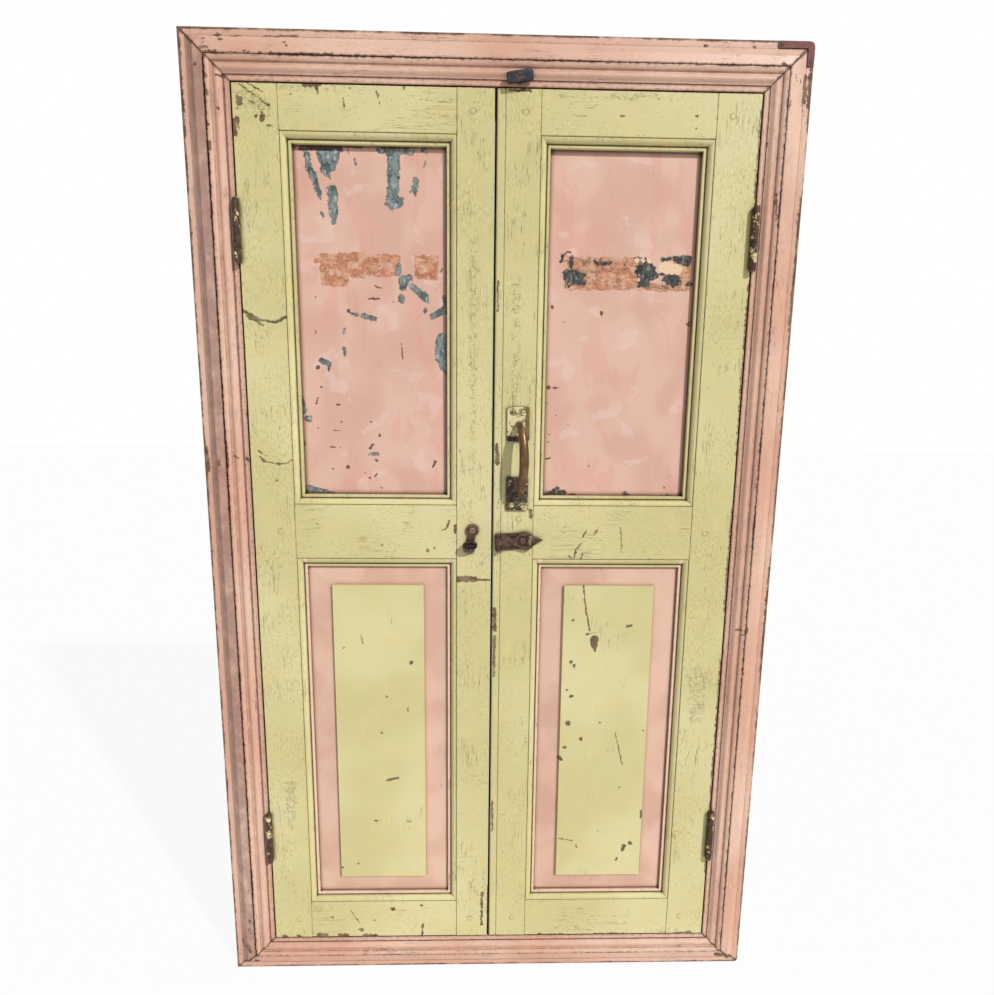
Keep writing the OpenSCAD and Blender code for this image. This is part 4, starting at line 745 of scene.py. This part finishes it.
# %% Sheet metal panels
LEFT_FLAKES = [
    (-196, 424, 2, -14, 2.6, 3.5), (-194, 410, 5, -9, 3.5, 4.2), (-188, 395, 4, -10, 2.8, 2.6),
    (-184, 383, 1, -2, 1.4, 0.7), (-179, 426, 2, -18, 7, 4.1), (-167, 427, -5, -16, 5.8, 4.7),
    (-177, 408, 4, -7, 4.1, 0.9), (-165, 431, 5, -4, 2.6, 1.6), (-192, 433, 30, 0, 4, 4),
    (-171, 391, 0, -6, 4.2, 4.9), (-171, 385, 1, -18, 4.9, 4.5), (-170, 367, 0, -11, 4.3, 1.2),
    (-121, 429, 31, 0, 3.9, 4.3), (-108, 426, 0, -22, 6.8, 5.8), (-108, 404, -1, -25, 5.9, 6.1),
    (-116, 377, 1, 0, 1.4, 1.2), (-100, 382, 0, -1, 2.1, 1.9), (-102, 378, -8, -4, 3.6, 3),
    (-85, 401, -1, -10, 2.6, 3.5), (-86, 389, 0, -3, 1.4, 0.9), (-91, 389, 1.2),
    (-77, 430, 2, -3, 2.6, 1.6), (-147, 419, 1, -4, 1.5, 1.4), (-183, 367, 2, -4, 1.7, 1.3),
    (-104, 316, 0, -7, 2.6, 3), (-99, 300, -1, -7, 5.4, 3.4), (-93, 304, 1, 0, 3.4, 2.9),
    (-90, 295, 13, -11, 3.1, 4.1), (-77, 286, 3, -6, 3.6, 1.7), (-102, 284, 0, -2, 3.4, 3.2),
    (-158, 269, 10, -4, 1, 1), (-142, 264, 12, -3, 2.6, 2.1), (-55, 272, -14, -8, 3.9, 2.6),
    (-77, 270, 2.2), (-56, 285, 2, -13, 1.6, 2.1), (-162, 250, -1, -4, 1.5, 1.4),
    (-163, 230, 0, -7, 1.8, 1), (-187, 217, 6, -3, 3.3, 3), (-180, 214, 0, -6, 2.2, 1.5),
    (-56, 239, -1, -15, 8.9, 9.4), (-53, 212, 2, -5, 7.7, 5.1), (-209, 176, 1, -14, 1.3, 2.3),
    (-204, 155, 3.8), (-210, 127, 2.6), (-207, 77, 28, -5, 3.7, 2.4), (-139, 116, 8, 1, 1, 2.6),
    (-131, 110, 1.7),
]
LEFT_DOTS = [
    (-129, 295, 7, -2, 1.1, 1.1), (-136, 282, 11, 0, 1, 1.3), (-110, 279, 1), (-192, 283, 1),
    (-65, 292, 1), (-60, 310, 2, 3, 1, 1), (-154, 429, 1, -4, 0.7, 0.5), (-75, 419, -2, -7, 0.8, 0.8),
    (-192, 210, 2.5), (-193, 248, 0, -3, 1, 0.9), (-189, 189, 1.4), (-193, 178, -2, -7, 0.9, 1.3),
    (-173, 171, 3, -1, 1.2, 1.2), (-168, 152, 1.4), (-194, 145, 1.2), (-181, 124, 5, 0, 1.2, 1),
    (-171, 124, 2, 0, 0.8, 0.6), (-179, 100, 1.2), (-163, 102, 2.5), (-135, 127, -3, -4, 1.8, 1.8),
    (-144, 96, 1.3), (-139, 90, 1.7), (-131, 95, -2, -3, 1.2, 1.2), (-126, 79, 1.3), (-136, 152, 1.4),
    (-127, 139, 0, -2, 1.3, 1.8), (-66, 109, -3, -6, 1.8, 1.3), (-102, 236, 1, -16, 0.6, 1.1),
    (-178, 142, 7, 0, 0.6, 0.8),
]
LEFT_BAND = [(-186, 294, -156, 327), (-165, 303, -140, 328), (-145, 304, -102, 327),
             (-87, 302, -62, 327), (-193, 317, -184, 323)]
# Grime and painted shadow: near-black boxes along the top of the left sheet, under the top moulding
LEFT_GRIME_AND_SHADOW = [(-204, 427, -158, 437), (-158, 430, -138, 437), (-120, 430, -92, 437)]
RIGHT_FLAKES = [
    (78, 307, 8, -1, 9.4, 8.1), (78, 326, 0, -7, 2.9, 3.4), (67, 322, 3, 8, 1.8, 1.3),
    (70, 330, 6, 2, 1.3, 1), (154, 316, 6, -2, 8.1, 9.4), (163, 312, 6, -3, 7.2, 3.9),
    (151, 300, 6, 1, 2.6, 3.4), (157, 308, 0, -6, 7.9, 5.3), (183, 305, 7, 0, 6.6, 6.3),
    (190, 326, 12, 0, 3.7, 5.5), (174, 326, 12, 2, 1.6, 1.6), (147, 327, 9, 0, 1.6, 1.3),
    (104, 322, 19, -1, 2.9, 1.8), (203, 302, 2, 0, 2.6, 2.4), (171, 311, 7, 0, 1.8, 1.6),
    (60, 74, 18, 0, 3.6, 4.1), (69, 78, 3.8), (84, 72, 6, 0, 1.9, 1.6), (147, 76, 0, -3, 2.7, 4.1),
    (181, 69, 13, 2, 1.7, 3), (205, 70, 6, 3, 1.9, 3.6), (208, 262, 2.7),
]
RIGHT_DOTS = [
    (59, 276, 2), (112, 271, 0, -2, 1.8, 2), (72, 261, 0.9), (57, 192, 0, -1, 2.1, 2.4),
    (64, 191, 1, -1, 1.9, 1.3), (58, 191, 10, 0, 0.7, 0.7), (56, 174, 1.1), (66, 161, 1.1),
    (80, 151, 0.9), (59, 140, 1.2), (58, 132, 1.1), (56, 113, 5, 1, 1.2, 1.2), (104, 105, 1),
    (196, 95, 0.8), (190, 82, 1.4),
]
RIGHT_BAND = [(70, 294, 150, 328), (146, 294, 206, 302), (186, 300, 206, 328)]
RIGHT_CREAM = [(177, 318, 14, -2, 6.3, 5.8), (148, 325, 12, -1, 2.9, 2.9)]


SHEET_STEEL = {"left": (tint(96, 110, 108), tint(142, 154, 150), tint(184, 194, 194), tint(62, 72, 72)),
               "right": (tint(58, 60, 58), tint(88, 90, 86), tint(136, 138, 134), tint(46, 44, 42))}


def painted_sheet(name, flakes, dots, band, steels, cream=(), dark=0.0, grime_and_shadow=()):
    """steels are the flaked sheet's two tones, its bright spots and its stains."""
    f = Finish(name)
    patch = f.cloud(55, (1, 1, 1.4), 1, bend=0.4)
    colour = f.mix(f.step(patch, 0.40, 0.60), tint(226, 184, 165), tint(217, 172, 153))
    tone = f.cloud(38, (0.7, 1, 1.6), 2, bend=0.5)
    colour = f.layers(
        colour, (f.step(tone, 0.55, 0.58) * 0.35, tint(222, 160, 142)),
        (f.blot(0.55, 0.75, 80, detail=2) * 0.6, tint(220, 184, 158)))
    pale = f.blot(0.58, 0.64, 30, (1.3, 1, 1), 3, bend=0.5)
    colour = f.mix(pale * 0.4, colour, tint(234, 204, 194))
    streak = f.cloud(1.6, (1, 1, 16), 4)
    colour = f.mix(f.step(streak, 0.5, 0.8) * 0.25, colour, tint(230, 194, 176))
    specks = f.pores(7, 0.25, 0.08) | f.pores(2.6, 0.1, 0.12)
    crumbs = f.cloud(3.2, detail=5, rough=0.7)
    torn = (f.cloud(7, (1, 1, 0.6), 6, 0.7) - 0.5) * 9
    old = f.step(f.patches(band, 1.2) + torn, -0.2, 0.5) * f.front
    primer = f.mix(f.blot(0.42, 0.58, 11, detail=4), tint(208, 156, 122), tint(190, 124, 92))
    primer = f.layers(
        primer, (f.blot(0.5, 0.6, 5, (1.6, 1, 1), 5, 0.7) * 0.8, tint(158, 104, 80)),
        (f.blot(0.58, 0.63, 1.8, detail=3) * 0.8, tint(226, 182, 126)))
    if dark:
        soot = f.step(f.cloud(8, (1.6, 1, 1), 5, 0.7) + (crumbs - 0.5) * 0.5, 0.54, 0.6)
        primer = f.mix(soot * dark, primer, tint(98, 88, 74))
    worn_off = f.blot(0.54, 0.58, 8, (1.5, 1, 1), 5, 0.7)
    colour = f.mix(old * (1 - worn_off * 0.75), colour, primer)
    if cream:
        colour = f.mix(f.step(f.strokes(cream, 0.8), 0, 0.4) * f.front, colour, tint(236, 204, 168))
    spot = f.step(f.strokes(dots, 1.3, 3) + (crumbs - 0.5) * 2.6 - 0.15, 0, 0.25) * f.front
    colour = f.mix((specks * 0.45) | spot, colour, tint(112, 76, 58))
    inside = f.strokes(flakes, 2.1, 5) + (f.cloud(2.8, detail=5, rough=0.75) - 0.5) * 6
    if dark:
        inside = inside + (f.cloud(6, detail=5, rough=0.7) - 0.5) * 17 - 0.6
    inside = inside - (1 - f.front) * 30
    bare = f.step(inside, 0, 0.25)
    # A dark rim round each flake: dirt at the paint's torn edge and a painted shadow of that edge
    rim = f.step(inside, -0.6, 0.1)
    dull, fair, bright, stain = steels
    steel = f.mix(f.blot(0.40, 0.60, 5, (1, 1, 2.2), 5), dull, fair)
    steel = f.layers(
        steel, (f.blot(0.57, 0.64, 4, (1, 1, 1.6), 4) * 0.9, bright),
        (f.blot(0.56, 0.62, 5, detail=5, rough=0.7) * 0.85, stain),
        ((1 - f.step(inside, 0.2, 1.1)) * 0.55, stain))
    colour = f.layers(
        colour, (rim * 0.8, tint(98, 72, 56)), (bare, steel))
    # Grime and painted shadow: a near-black band within the given boxes
    if grime_and_shadow:
        soot = f.step(f.patches(grime_and_shadow, 1.6) + torn * 0.7, -0.4, 0.8) * f.front
        colour = f.mix(soot * 0.93, colour, tint(38, 38, 44))
    # Painted shade with dirt: maroon within 6 mm of a corner, near black in the deepest, such as under
    # the top moulding
    closed = f.shade(6)
    colour = f.layers(
        colour, ((1 - f.step(closed, 0.6, 0.95)) * 0.7, tint(112, 62, 50)),
        ((1 - f.step(closed + (crumbs - 0.5) * 0.2, 0.5, 0.72)) * 0.95, tint(46, 24, 22)))
    wave = f.cloud(90, detail=1)
    height = wave * 1.2 + streak * 0.02 + crumbs * 0.06
    rough = bare * -0.12 + f.cloud(12) * 0.2 + 0.38
    return f.finish(colour, rough, bare * 0.35, height)


dress(painted_sheet("left_painted_sheet", LEFT_FLAKES, LEFT_DOTS, LEFT_BAND, SHEET_STEEL["left"],
                    grime_and_shadow=LEFT_GRIME_AND_SHADOW), "left_tin_panel")
dress(painted_sheet("right_painted_sheet", RIGHT_FLAKES, RIGHT_DOTS, RIGHT_BAND, SHEET_STEEL["right"],
                    RIGHT_CREAM, 0.75), "right_tin_panel")
print("flakes:", len(LEFT_FLAKES) + len(RIGHT_FLAKES))

# %% [markdown]
# ## Mirror
# Behind the doors is silvered glass. It is a clean metal mirror with a faint green cast.
# Damp has crept in from the edges, so the silvering there is freckled and brown.

# %% Mirror
def old_mirror(name):
    f = Finish(name)
    low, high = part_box("mirror_glass")
    half_x, half_z = (high.x - low.x) * 500, (high.z - low.z) * 500
    to_edge = (half_x - abs(f.x)) & (half_z - abs(f.z))
    creep = f.step(to_edge + (f.cloud(14, detail=5) - 0.5) * 60, 26, 8)
    freckle = f.pores(5, 0.35, 0.25) * f.step(to_edge, 95, 20)
    lost = f.math("ADD", creep * f.blot(0.44, 0.56, 4, detail=5), freckle, clamp=True)
    colour = f.mix(lost, (0.86, 0.90, 0.885, 1), tint(96, 82, 66))
    return f.finish(colour, lost * 0.45 + 0.015, 1 - lost)


dress(old_mirror("old_mirror"), "mirror_glass")
print("mirror dressed")

# %% [markdown]
# ## Iron and steel
# The fittings are old iron, darkened and brown, with rust in their pores, brighter metal
# at rubbed edges and crumbs of door paint where the brush ran over them. One recipe
# serves all, with its own colours for each.

# %% Iron
def old_iron(name, dark, light, rubbed, paint=None, much=0.0, metal=0.6, rough=0.5, flake=4.5):
    """Worn iron. much is how much old paint is left on it, in flakes of about flake mm."""
    f = Finish(name)
    cloud, fine = f.cloud(6, detail=5, rough=0.65), f.cloud(1.2, detail=4)
    colour = f.mix(f.step(cloud, 0.35, 0.65), dark, light)
    pit = f.step(fine, 0.58, 0.72)
    colour = f.mix(pit * 0.6, colour, tint(58, 38, 28))
    edge = f.step(1 - f.shade(0.8, inside=True) + (fine - 0.5) * 0.5, 0.25, 0.5)
    colour = f.mix(edge * 0.7, colour, rubbed)
    hollow = 1 - f.step(f.shade(3), 0.4, 0.9)
    colour = f.mix(hollow * 0.6, colour, tint(34, 24, 20))
    shine = f.math("MULTIPLY", 1 - pit * 0.7, metal)
    height = fine * 0.06 + cloud * 0.08
    if paint:
        left = f.step(f.cloud(flake, detail=6, rough=0.68) - edge * 0.12, 1 - much, 1.02 - much)
        colour = f.mix(left, colour, f.mix(f.step(cloud, 0.4, 0.6), paint, GREEN["deep"]))
        shine, height = shine * (1 - left), height + left * 0.12
    return f.finish(colour, pit * 0.3 + rough, shine, height)


hinge = old_iron("bronzed_hinge", tint(46, 34, 28), tint(92, 66, 48), tint(150, 116, 86),
                 tint(232, 212, 164), 0.44, 0.25, 0.55, 9)
dress(hinge, "hinge_pins", *(f"{end}_{side}_{board}_leaf" for board in ("frame", "door")
                             for side in ("left", "right") for end in ("upper", "lower")))
steel = old_iron("dull_steel", tint(118, 114, 106), tint(150, 146, 138), tint(190, 188, 180),
                 metal=0.85, rough=0.42)
dress(steel, "frame_hinge_screws", "left_hinge_screws", "right_hinge_screws", "hanger_plates",
      "hanger_screws", "backing_screws")
dress(old_iron("red_brace", tint(92, 40, 36), tint(122, 54, 46), tint(150, 92, 74), metal=0.1),
      "corner_brace")
dress(old_iron("dark_nails", tint(66, 50, 42), tint(96, 74, 60), tint(130, 106, 84)),
      "corner_brace_nails")
dress(old_iron("brown_button", tint(44, 40, 42), tint(78, 68, 62), tint(142, 122, 100), metal=0.35),
      "button_screw")
dress(old_iron("brown_hasp", tint(62, 38, 36), tint(96, 62, 52), tint(160, 140, 118),
               tint(232, 206, 160), 0.36, 0.4), "hasp_leaf", "hasp_screws", "hasp_pin")
dress(old_iron("brown_staple", tint(88, 60, 50), tint(126, 96, 76), tint(196, 190, 180),
               metal=0.6), "staple_plate", "staple_screws")
dress(old_iron("handle_screw_iron", tint(96, 84, 50), tint(140, 126, 84), tint(176, 164, 120),
               GREEN["light"], 0.55), "handle_screws")
print("iron dressed")

# %% [markdown]
# ## Shaping tools
# The fittings that a hand touches are cast or forged, so no edge on them is sharp. Three
# tools make them in their own millimetres: a plate with its edges rolled over, a bar
# lofted through oval rings, and a dome of ever smaller ovals. Each fitting then stands
# for its plain solid, in the same place.

# %% Shaping tools
DOOR_FACE = 66  # how far the doors' face stands out from the part's origin


def bench(node, lean=0, level=DOOR_FACE):
    """Fits a drawing (across, up, out) to the middle of a node, leaning by some degrees."""
    low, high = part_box(node)
    spot = Vector(((low.x + high.x) / 2, -level / 1000, (low.z + high.z) / 2))
    drawing = Matrix(((0.001, 0, 0, 0), (0, 0, -0.001, 0), (0, 0.001, 0, 0), (0, 0, 0, 1)))
    return Matrix.Translation(spot) @ drawing @ Matrix.Rotation(math.radians(lean), 4, "Z")


def oval(wide, high, sides=40):
    """Points round an oval with straight flanks, like a race track when it is long."""
    turns = [2 * math.pi * i / sides for i in range(sides)]
    ease = 0.85
    return [(math.copysign(abs(math.cos(a)) ** ease, math.cos(a)) * wide / 2,
             math.copysign(abs(math.sin(a)) ** ease, math.sin(a)) * high / 2) for a in turns]


def plate(work, place, loops, low, high, edge=0.4):
    """Adds a plate: its outline, then its holes, with edges rolled over by edge."""
    curve = bpy.data.curves.new("outline", "CURVE")
    curve.dimensions, curve.fill_mode = "2D", "BOTH"
    curve.extrude, curve.bevel_depth = (high - low) / 2 - edge, edge
    curve.bevel_resolution, curve.offset = 3, -edge
    for loop in loops:
        line = curve.splines.new("POLY")
        line.points.add(len(loop) - 1)
        for point, spot in zip(line.points, loop):
            point.co = (*spot, 0, 1)
        line.use_cyclic_u = True
    blank = bpy.data.objects.new("outline", curve)
    mesh = bpy.data.meshes.new_from_object(blank)
    mesh.transform(place @ Matrix.Translation((0, 0, (low + high) / 2)))
    work.from_mesh(mesh)
    bpy.data.objects.remove(blank)
    bpy.data.curves.remove(curve)
    bpy.data.meshes.remove(mesh)


def loft(work, place, rings):
    """Adds a skin through rings of points, closed at both ends."""
    rows = [[work.verts.new(place @ Vector(p)) for p in ring] for ring in rings]
    for a, b in zip(rows, rows[1:]):
        for i in range(len(a)):
            j = (i + 1) % len(a)
            work.faces.new((a[i], a[j], b[j], b[i]))
    work.faces.new(rows[0][::-1])
    work.faces.new(rows[-1])


def dome(work, place, wide, high, steps):
    """Adds ovals one on another. A step is how far in from the edge, and how far out."""
    loft(work, place, [[(a, b, out) for a, b in oval(wide - 2 * inset, high - 2 * inset)]
                       for inset, out in steps])


def fitting(work, node, body, finish):
    """Turns a worked mesh into the piece that stands for a node."""
    bmesh.ops.remove_doubles(work, verts=work.verts, dist=1e-6)
    bmesh.ops.recalc_face_normals(work, faces=work.faces)
    mesh = bpy.data.meshes.new("worn_" + node)
    work.to_mesh(mesh)
    work.free()
    mesh.shade_smooth()
    mesh.set_sharp_from_angle(angle=math.radians(40))
    mesh.materials.append(finish)
    piece = bpy.data.objects.new("worn_" + node, mesh)
    bpy.context.scene.collection.objects.link(piece)
    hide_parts(node)
    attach(piece, body)
    low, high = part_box(node)
    spare = [(round((min(v.co[i] for v in mesh.vertices) - low[i]) * 1000, 2),
              round((high[i] - max(v.co[i] for v in mesh.vertices)) * 1000, 2)) for i in range(3)]
    print(node, "clears its solid's box by", spare)


# %% [markdown]
# ## Pull handle
# The grip is a bowed iron bar, thin at its feet and thick where the hand closes, cast in
# one with two plates. It is polished brown by use. Door paint covers the upper plate's
# face, and the lower plate is nearly black.

# %% Pull handle
PLATE_W, PLATE_LEN, PLATE_T, PLATE_OUT = 24, 37, 2.4, 38.25
PLATE_CORNER, HOLE_R = 1.6, 3.3
GRIP_RISE, GRIP_THICK, GRIP_FOOT, GRIP_BOW = 27.2, 10.3, 6.4, 6.0
HANDLE_HOLES = [(sx * 6, sy * 50.75) for sx in (-1, 1) for sy in (-1, 1)]


def grip_rings(rings=44, sides=26):
    """Oval rings along the bow, square to it, from the lower foot to the upper."""
    def middle(t):
        swell = math.sin(math.pi * t)
        rise = PLATE_T - 1 + (GRIP_RISE - GRIP_THICK / 2 - PLATE_T + 1) * swell ** 0.8
        return Vector((GRIP_BOW * swell, -PLATE_OUT * math.cos(math.pi * t), rise))

    out = []
    for k in range(rings + 1):
        t = 0.03 + 0.94 * k / rings
        ahead = (middle(min(t + 0.02, 1)) - middle(max(t - 0.02, 0))).normalized()
        side = ahead.cross(Vector((0, 0, 1))).normalized()
        up = side.cross(ahead)
        flare = 1.6 * max(0, 1 - min(t, 1 - t) / 0.09) ** 2
        thick = GRIP_FOOT + (GRIP_THICK - GRIP_FOOT) * math.sin(math.pi * t) ** 1.4 + flare
        turns = [2 * math.pi * i / sides for i in range(sides)]
        out.append([middle(t) + side * math.cos(a) * thick / 2 + up * math.sin(a) * thick * 0.46
                    for a in turns])
    return out


def worn_bronze():
    """Brown on the grip, door paint on the upper plate, black on the lower one."""
    f = Finish("bronze_and_paint")
    low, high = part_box("pull_handle")
    middle = (low.z + high.z) * 500 + MIDDLE
    cloud, fine = f.cloud(5, (1, 1, 2.5), 5, 0.65), f.cloud(1.1, detail=4)
    off_door = f.y * -1 - (DOOR_FACE + PLATE_T)
    on_plate = f.step(off_door + (cloud - 0.5) * 3, 2.4, 1.2)
    upper = f.step(f.z - middle, -2, 2)
    brown = f.mix(f.step(cloud, 0.38, 0.62), tint(92, 68, 40), tint(128, 100, 62))
    brown = f.mix(f.step(fine, 0.6, 0.7) * 0.6, brown, tint(60, 42, 28))
    black = f.mix(f.step(cloud, 0.4, 0.6), tint(48, 32, 26), tint(84, 66, 54))
    black = f.mix(f.blot(0.6, 0.66, 3, detail=4) * 0.8, black, tint(122, 114, 104))
    crumbs = f.step(f.cloud(3.4, detail=6, rough=0.7) + f.step(f.x, 26, 32) * 0.06, 0.60, 0.62)
    black = f.mix(crumbs, black, tint(226, 196, 150))
    olive = f.mix(f.step(f.x + (cloud - 0.5) * 9, 30.5, 32), GREEN["light"], tint(126, 104, 56))
    olive = f.mix(f.blot(0.52, 0.55, 4, detail=6, rough=0.7) * 0.8, olive, tint(120, 96, 52))
    foot = f.step(abs(f.z - middle) + (cloud - 0.5) * 6, 27, 24)
    olive = f.mix(foot, olive, tint(66, 44, 34))
    colour = f.mix(on_plate, brown, f.mix(upper, black, olive))
    edge = f.step(1 - f.shade(0.9, inside=True) + (fine - 0.5) * 0.5, 0.28, 0.5)
    colour = f.layers(
        colour, (edge * 0.5, tint(164, 136, 96)),
        ((1 - f.step(f.shade(4), 0.4, 0.9)) * 0.75, tint(34, 24, 18)))
    return f.finish(colour, on_plate * 0.3 + fine * 0.15 + 0.3, 0.55 - on_plate * 0.4,
                    fine * 0.05 + cloud * 0.08)


def rounded_box(wide, high, corner, steps=5):
    """Outline of a plate with rounded corners."""
    out = []
    for turn, (sx, sy) in enumerate(((1, 1), (-1, 1), (-1, -1), (1, -1))):
        for i in range(steps + 1):
            a = math.pi / 2 * (turn + i / steps)
            out.append((sx * (wide / 2 - corner) + corner * math.cos(a),
                        sy * (high / 2 - corner) + corner * math.sin(a)))
    return out


def disc(spot, radius, sides=20):
    """Outline of a round hole, wound against the outline it is cut from."""
    turns = [-2 * math.pi * i / sides for i in range(sides)]
    return [(spot[0] + radius * math.cos(a), spot[1] + radius * math.sin(a)) for a in turns]


work, place = bmesh.new(), bench("pull_handle")
for s in (-1, 1):
    shift = place @ Matrix.Translation((0, s * PLATE_OUT, 0))
    holes = [disc((x, y - s * PLATE_OUT), HOLE_R) for x, y in HANDLE_HOLES if y * s > 0]
    plate(work, shift, [rounded_box(PLATE_W, PLATE_LEN, PLATE_CORNER)] + holes, 0, PLATE_T, 0.5)
loft(work, place, grip_rings())
fitting(work, "pull_handle", "right_door", worn_bronze())

# %% [markdown]
# ## Hasp strap
# The strap was cut from plate: a barrel that turns on the pin, a narrow neck, a round
# body with a slot for the knob, and a pointed tip. Its edges are bright where it has been
# handled and its face is a deep brown, with crumbs of cream paint.

# %% Hasp strap
HASP_LEAN, HASP_H, STRAP_T, BARREL = 4, 18.5, 2, 6.4
REACH, BODY_R, TIP, NECK, SLOT = 31, 10.4, 51, 8.5, (19, 12.4)
PIN_OUT, STEP, PLAY = 3.4, HASP_H / 3, 0.3


def strap_edge():
    """Upper edge of the strap from the barrel to its tip."""
    tongue = (STEP - PLAY) / 2
    edge = [(0.5, tongue), (BARREL / 2 + PLAY, tongue), (BARREL / 2 + PLAY, HASP_H / 2 - 0.2),
            (5, HASP_H / 2 - 0.2)]
    for i in range(9):
        t = i / 8
        fall = (1 - math.cos(math.pi * t)) / 2
        edge.append((6 + 10 * t, HASP_H / 2 - 0.6 + (NECK / 2 - HASP_H / 2 + 0.6) * fall))
    start = math.acos(-math.sqrt(BODY_R ** 2 - NECK ** 2 / 4) / BODY_R)
    for i in range(1, 15):
        a = start + (math.radians(50) - start) * i / 14
        edge.append((REACH + BODY_R * math.cos(a), BODY_R * math.sin(a)))
    foot_x, foot_y = edge[-1]
    for i in range(1, 6):
        t = i / 6
        edge.append((foot_x + (TIP - foot_x) * t, foot_y * (1 - t) * (1 - 0.35 * math.sin(math.pi * t))))
    return edge


def slot_outline(sides=24):
    """Rounded slot, wound against the strap's outline."""
    half, r = (SLOT[0] - SLOT[1]) / 2, SLOT[1] / 2
    turns = [-2 * math.pi * i / sides for i in range(sides)]
    ends = [REACH + math.copysign(half, math.cos(a) or 1) for a in turns]
    return [(x + r * math.cos(a), r * math.sin(a)) for x, a in zip(ends, turns)]


def barrel_rings(length, sides=24):
    """Rings of a barrel with eased ends, along the pin."""
    full, eased, rings = BARREL / 2, BARREL / 2 - 0.5, []
    turns = [2 * math.pi * i / sides for i in range(sides)]
    for y, r in ((0, eased), (0.4, full), (length - 0.4, full), (length, eased)):
        rings.append([(r * math.cos(a), y - length / 2, PIN_OUT + r * math.sin(a)) for a in turns])
    return rings


strap_iron = old_iron("brown_strap", tint(70, 52, 42), tint(108, 86, 64), tint(190, 180, 164),
                      tint(228, 200, 156), 0.30, 0.5, 0.42)
work, place = bmesh.new(), bench("hasp_pin", HASP_LEAN)
edge = strap_edge()
outline = [(x, -y) for x, y in edge] + [(TIP - 0.3, 0)] + edge[::-1]
plate(work, place, [outline, slot_outline()], PIN_OUT - STRAP_T / 2, PIN_OUT + STRAP_T / 2, 0.45)
loft(work, place, barrel_rings(STEP - PLAY))
fitting(work, "hasp_strap", "hasp", strap_iron)

# %% [markdown]
# ## Twist knob and turn button
# The knob is an oval casting with a rim, a sunk face and a bar across it for the fingers.
# The button is a thick bar with eased edges, turning on one screw.

# %% Twist knob
KNOB_LONG, KNOB_HIGH, KNOB_LOW, KNOB_TOP = 16.5, 9.7, 5.2, 10.6
RIM_STEPS = [(0.9, KNOB_LOW), (0.2, KNOB_LOW + 0.5), (0, KNOB_LOW + 1.4), (0, KNOB_TOP - 1.5),
             (0.3, KNOB_TOP - 0.7), (0.8, KNOB_TOP - 0.3), (1.3, KNOB_TOP - 0.4), (1.8, KNOB_TOP - 1.2),
             (2.4, KNOB_TOP - 1.9), (3.4, KNOB_TOP - 2.1)]
BAR_LONG, BAR_HIGH, SPINDLE, SPINDLE_FOOT = 12.4, 2.6, 3.9, -1.2
BAR_STEPS = [(0, KNOB_TOP - 2.4), (0, KNOB_TOP - 1.0), (0.3, KNOB_TOP - 0.5), (0.8, KNOB_TOP - 0.4)]
knob_iron = old_iron("purple_knob", tint(50, 36, 38), tint(80, 60, 54), tint(168, 150, 130), metal=0.55,
                     rough=0.4)
work, place = bmesh.new(), bench("twist_knob", HASP_LEAN)
dome(work, place, KNOB_LONG, KNOB_HIGH, RIM_STEPS)
dome(work, place, BAR_LONG, BAR_HIGH, BAR_STEPS)
dome(work, place, SPINDLE, SPINDLE, [(0, SPINDLE_FOOT), (0, KNOB_LOW + 0.2)])
fitting(work, "twist_knob", "knob", knob_iron)

# %% Turn button
BUTTON_LONG, BUTTON_HIGH, BUTTON_T, BUTTON_LEAN = 27, 10.5, 4, 8
BORE_R, BOSS_R = 2.5, 5.0


def block_outline():
    """Outline of the button, its ends a little uneven from the saw and the file."""
    a, b = BUTTON_LONG / 2, BUTTON_HIGH / 2
    half = [(a - 0.9, -b + 0.5), (a - 0.1, -b + 2.2), (a, b - 2.6), (a - 1.2, b - 0.4), (a - 3, b - 0.1),
            (0, b), (-a + 4, b - 0.15), (-a + 1.4, b - 0.5)]
    return half + [(-x, -y) for x, y in half]


low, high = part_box("turn_button")
front, back = -low.y * 1000, -high.y * 1000
button_iron = old_iron("blue_black_button", tint(34, 36, 46), tint(62, 62, 68), tint(176, 164, 140),
                       tint(206, 190, 150), 0.24, 0.35, 0.5, 3)
work, place = bmesh.new(), bench("turn_button", BUTTON_LEAN, 0)
plate(work, place, [block_outline(), disc((0, 0), BORE_R)], front - BUTTON_T, front, 0.6)
boss = [disc((0, 0), BOSS_R, 28)[::-1], disc((0, 0), BORE_R)]
plate(work, place, boss, back, front - BUTTON_T + 0.5, 0.2)
fitting(work, "turn_button", "button", button_iron)

undressed = [n for n, o in NODES.items() if not o.data.materials or o.data.materials[0] is None]
print("undressed nodes:", undressed)
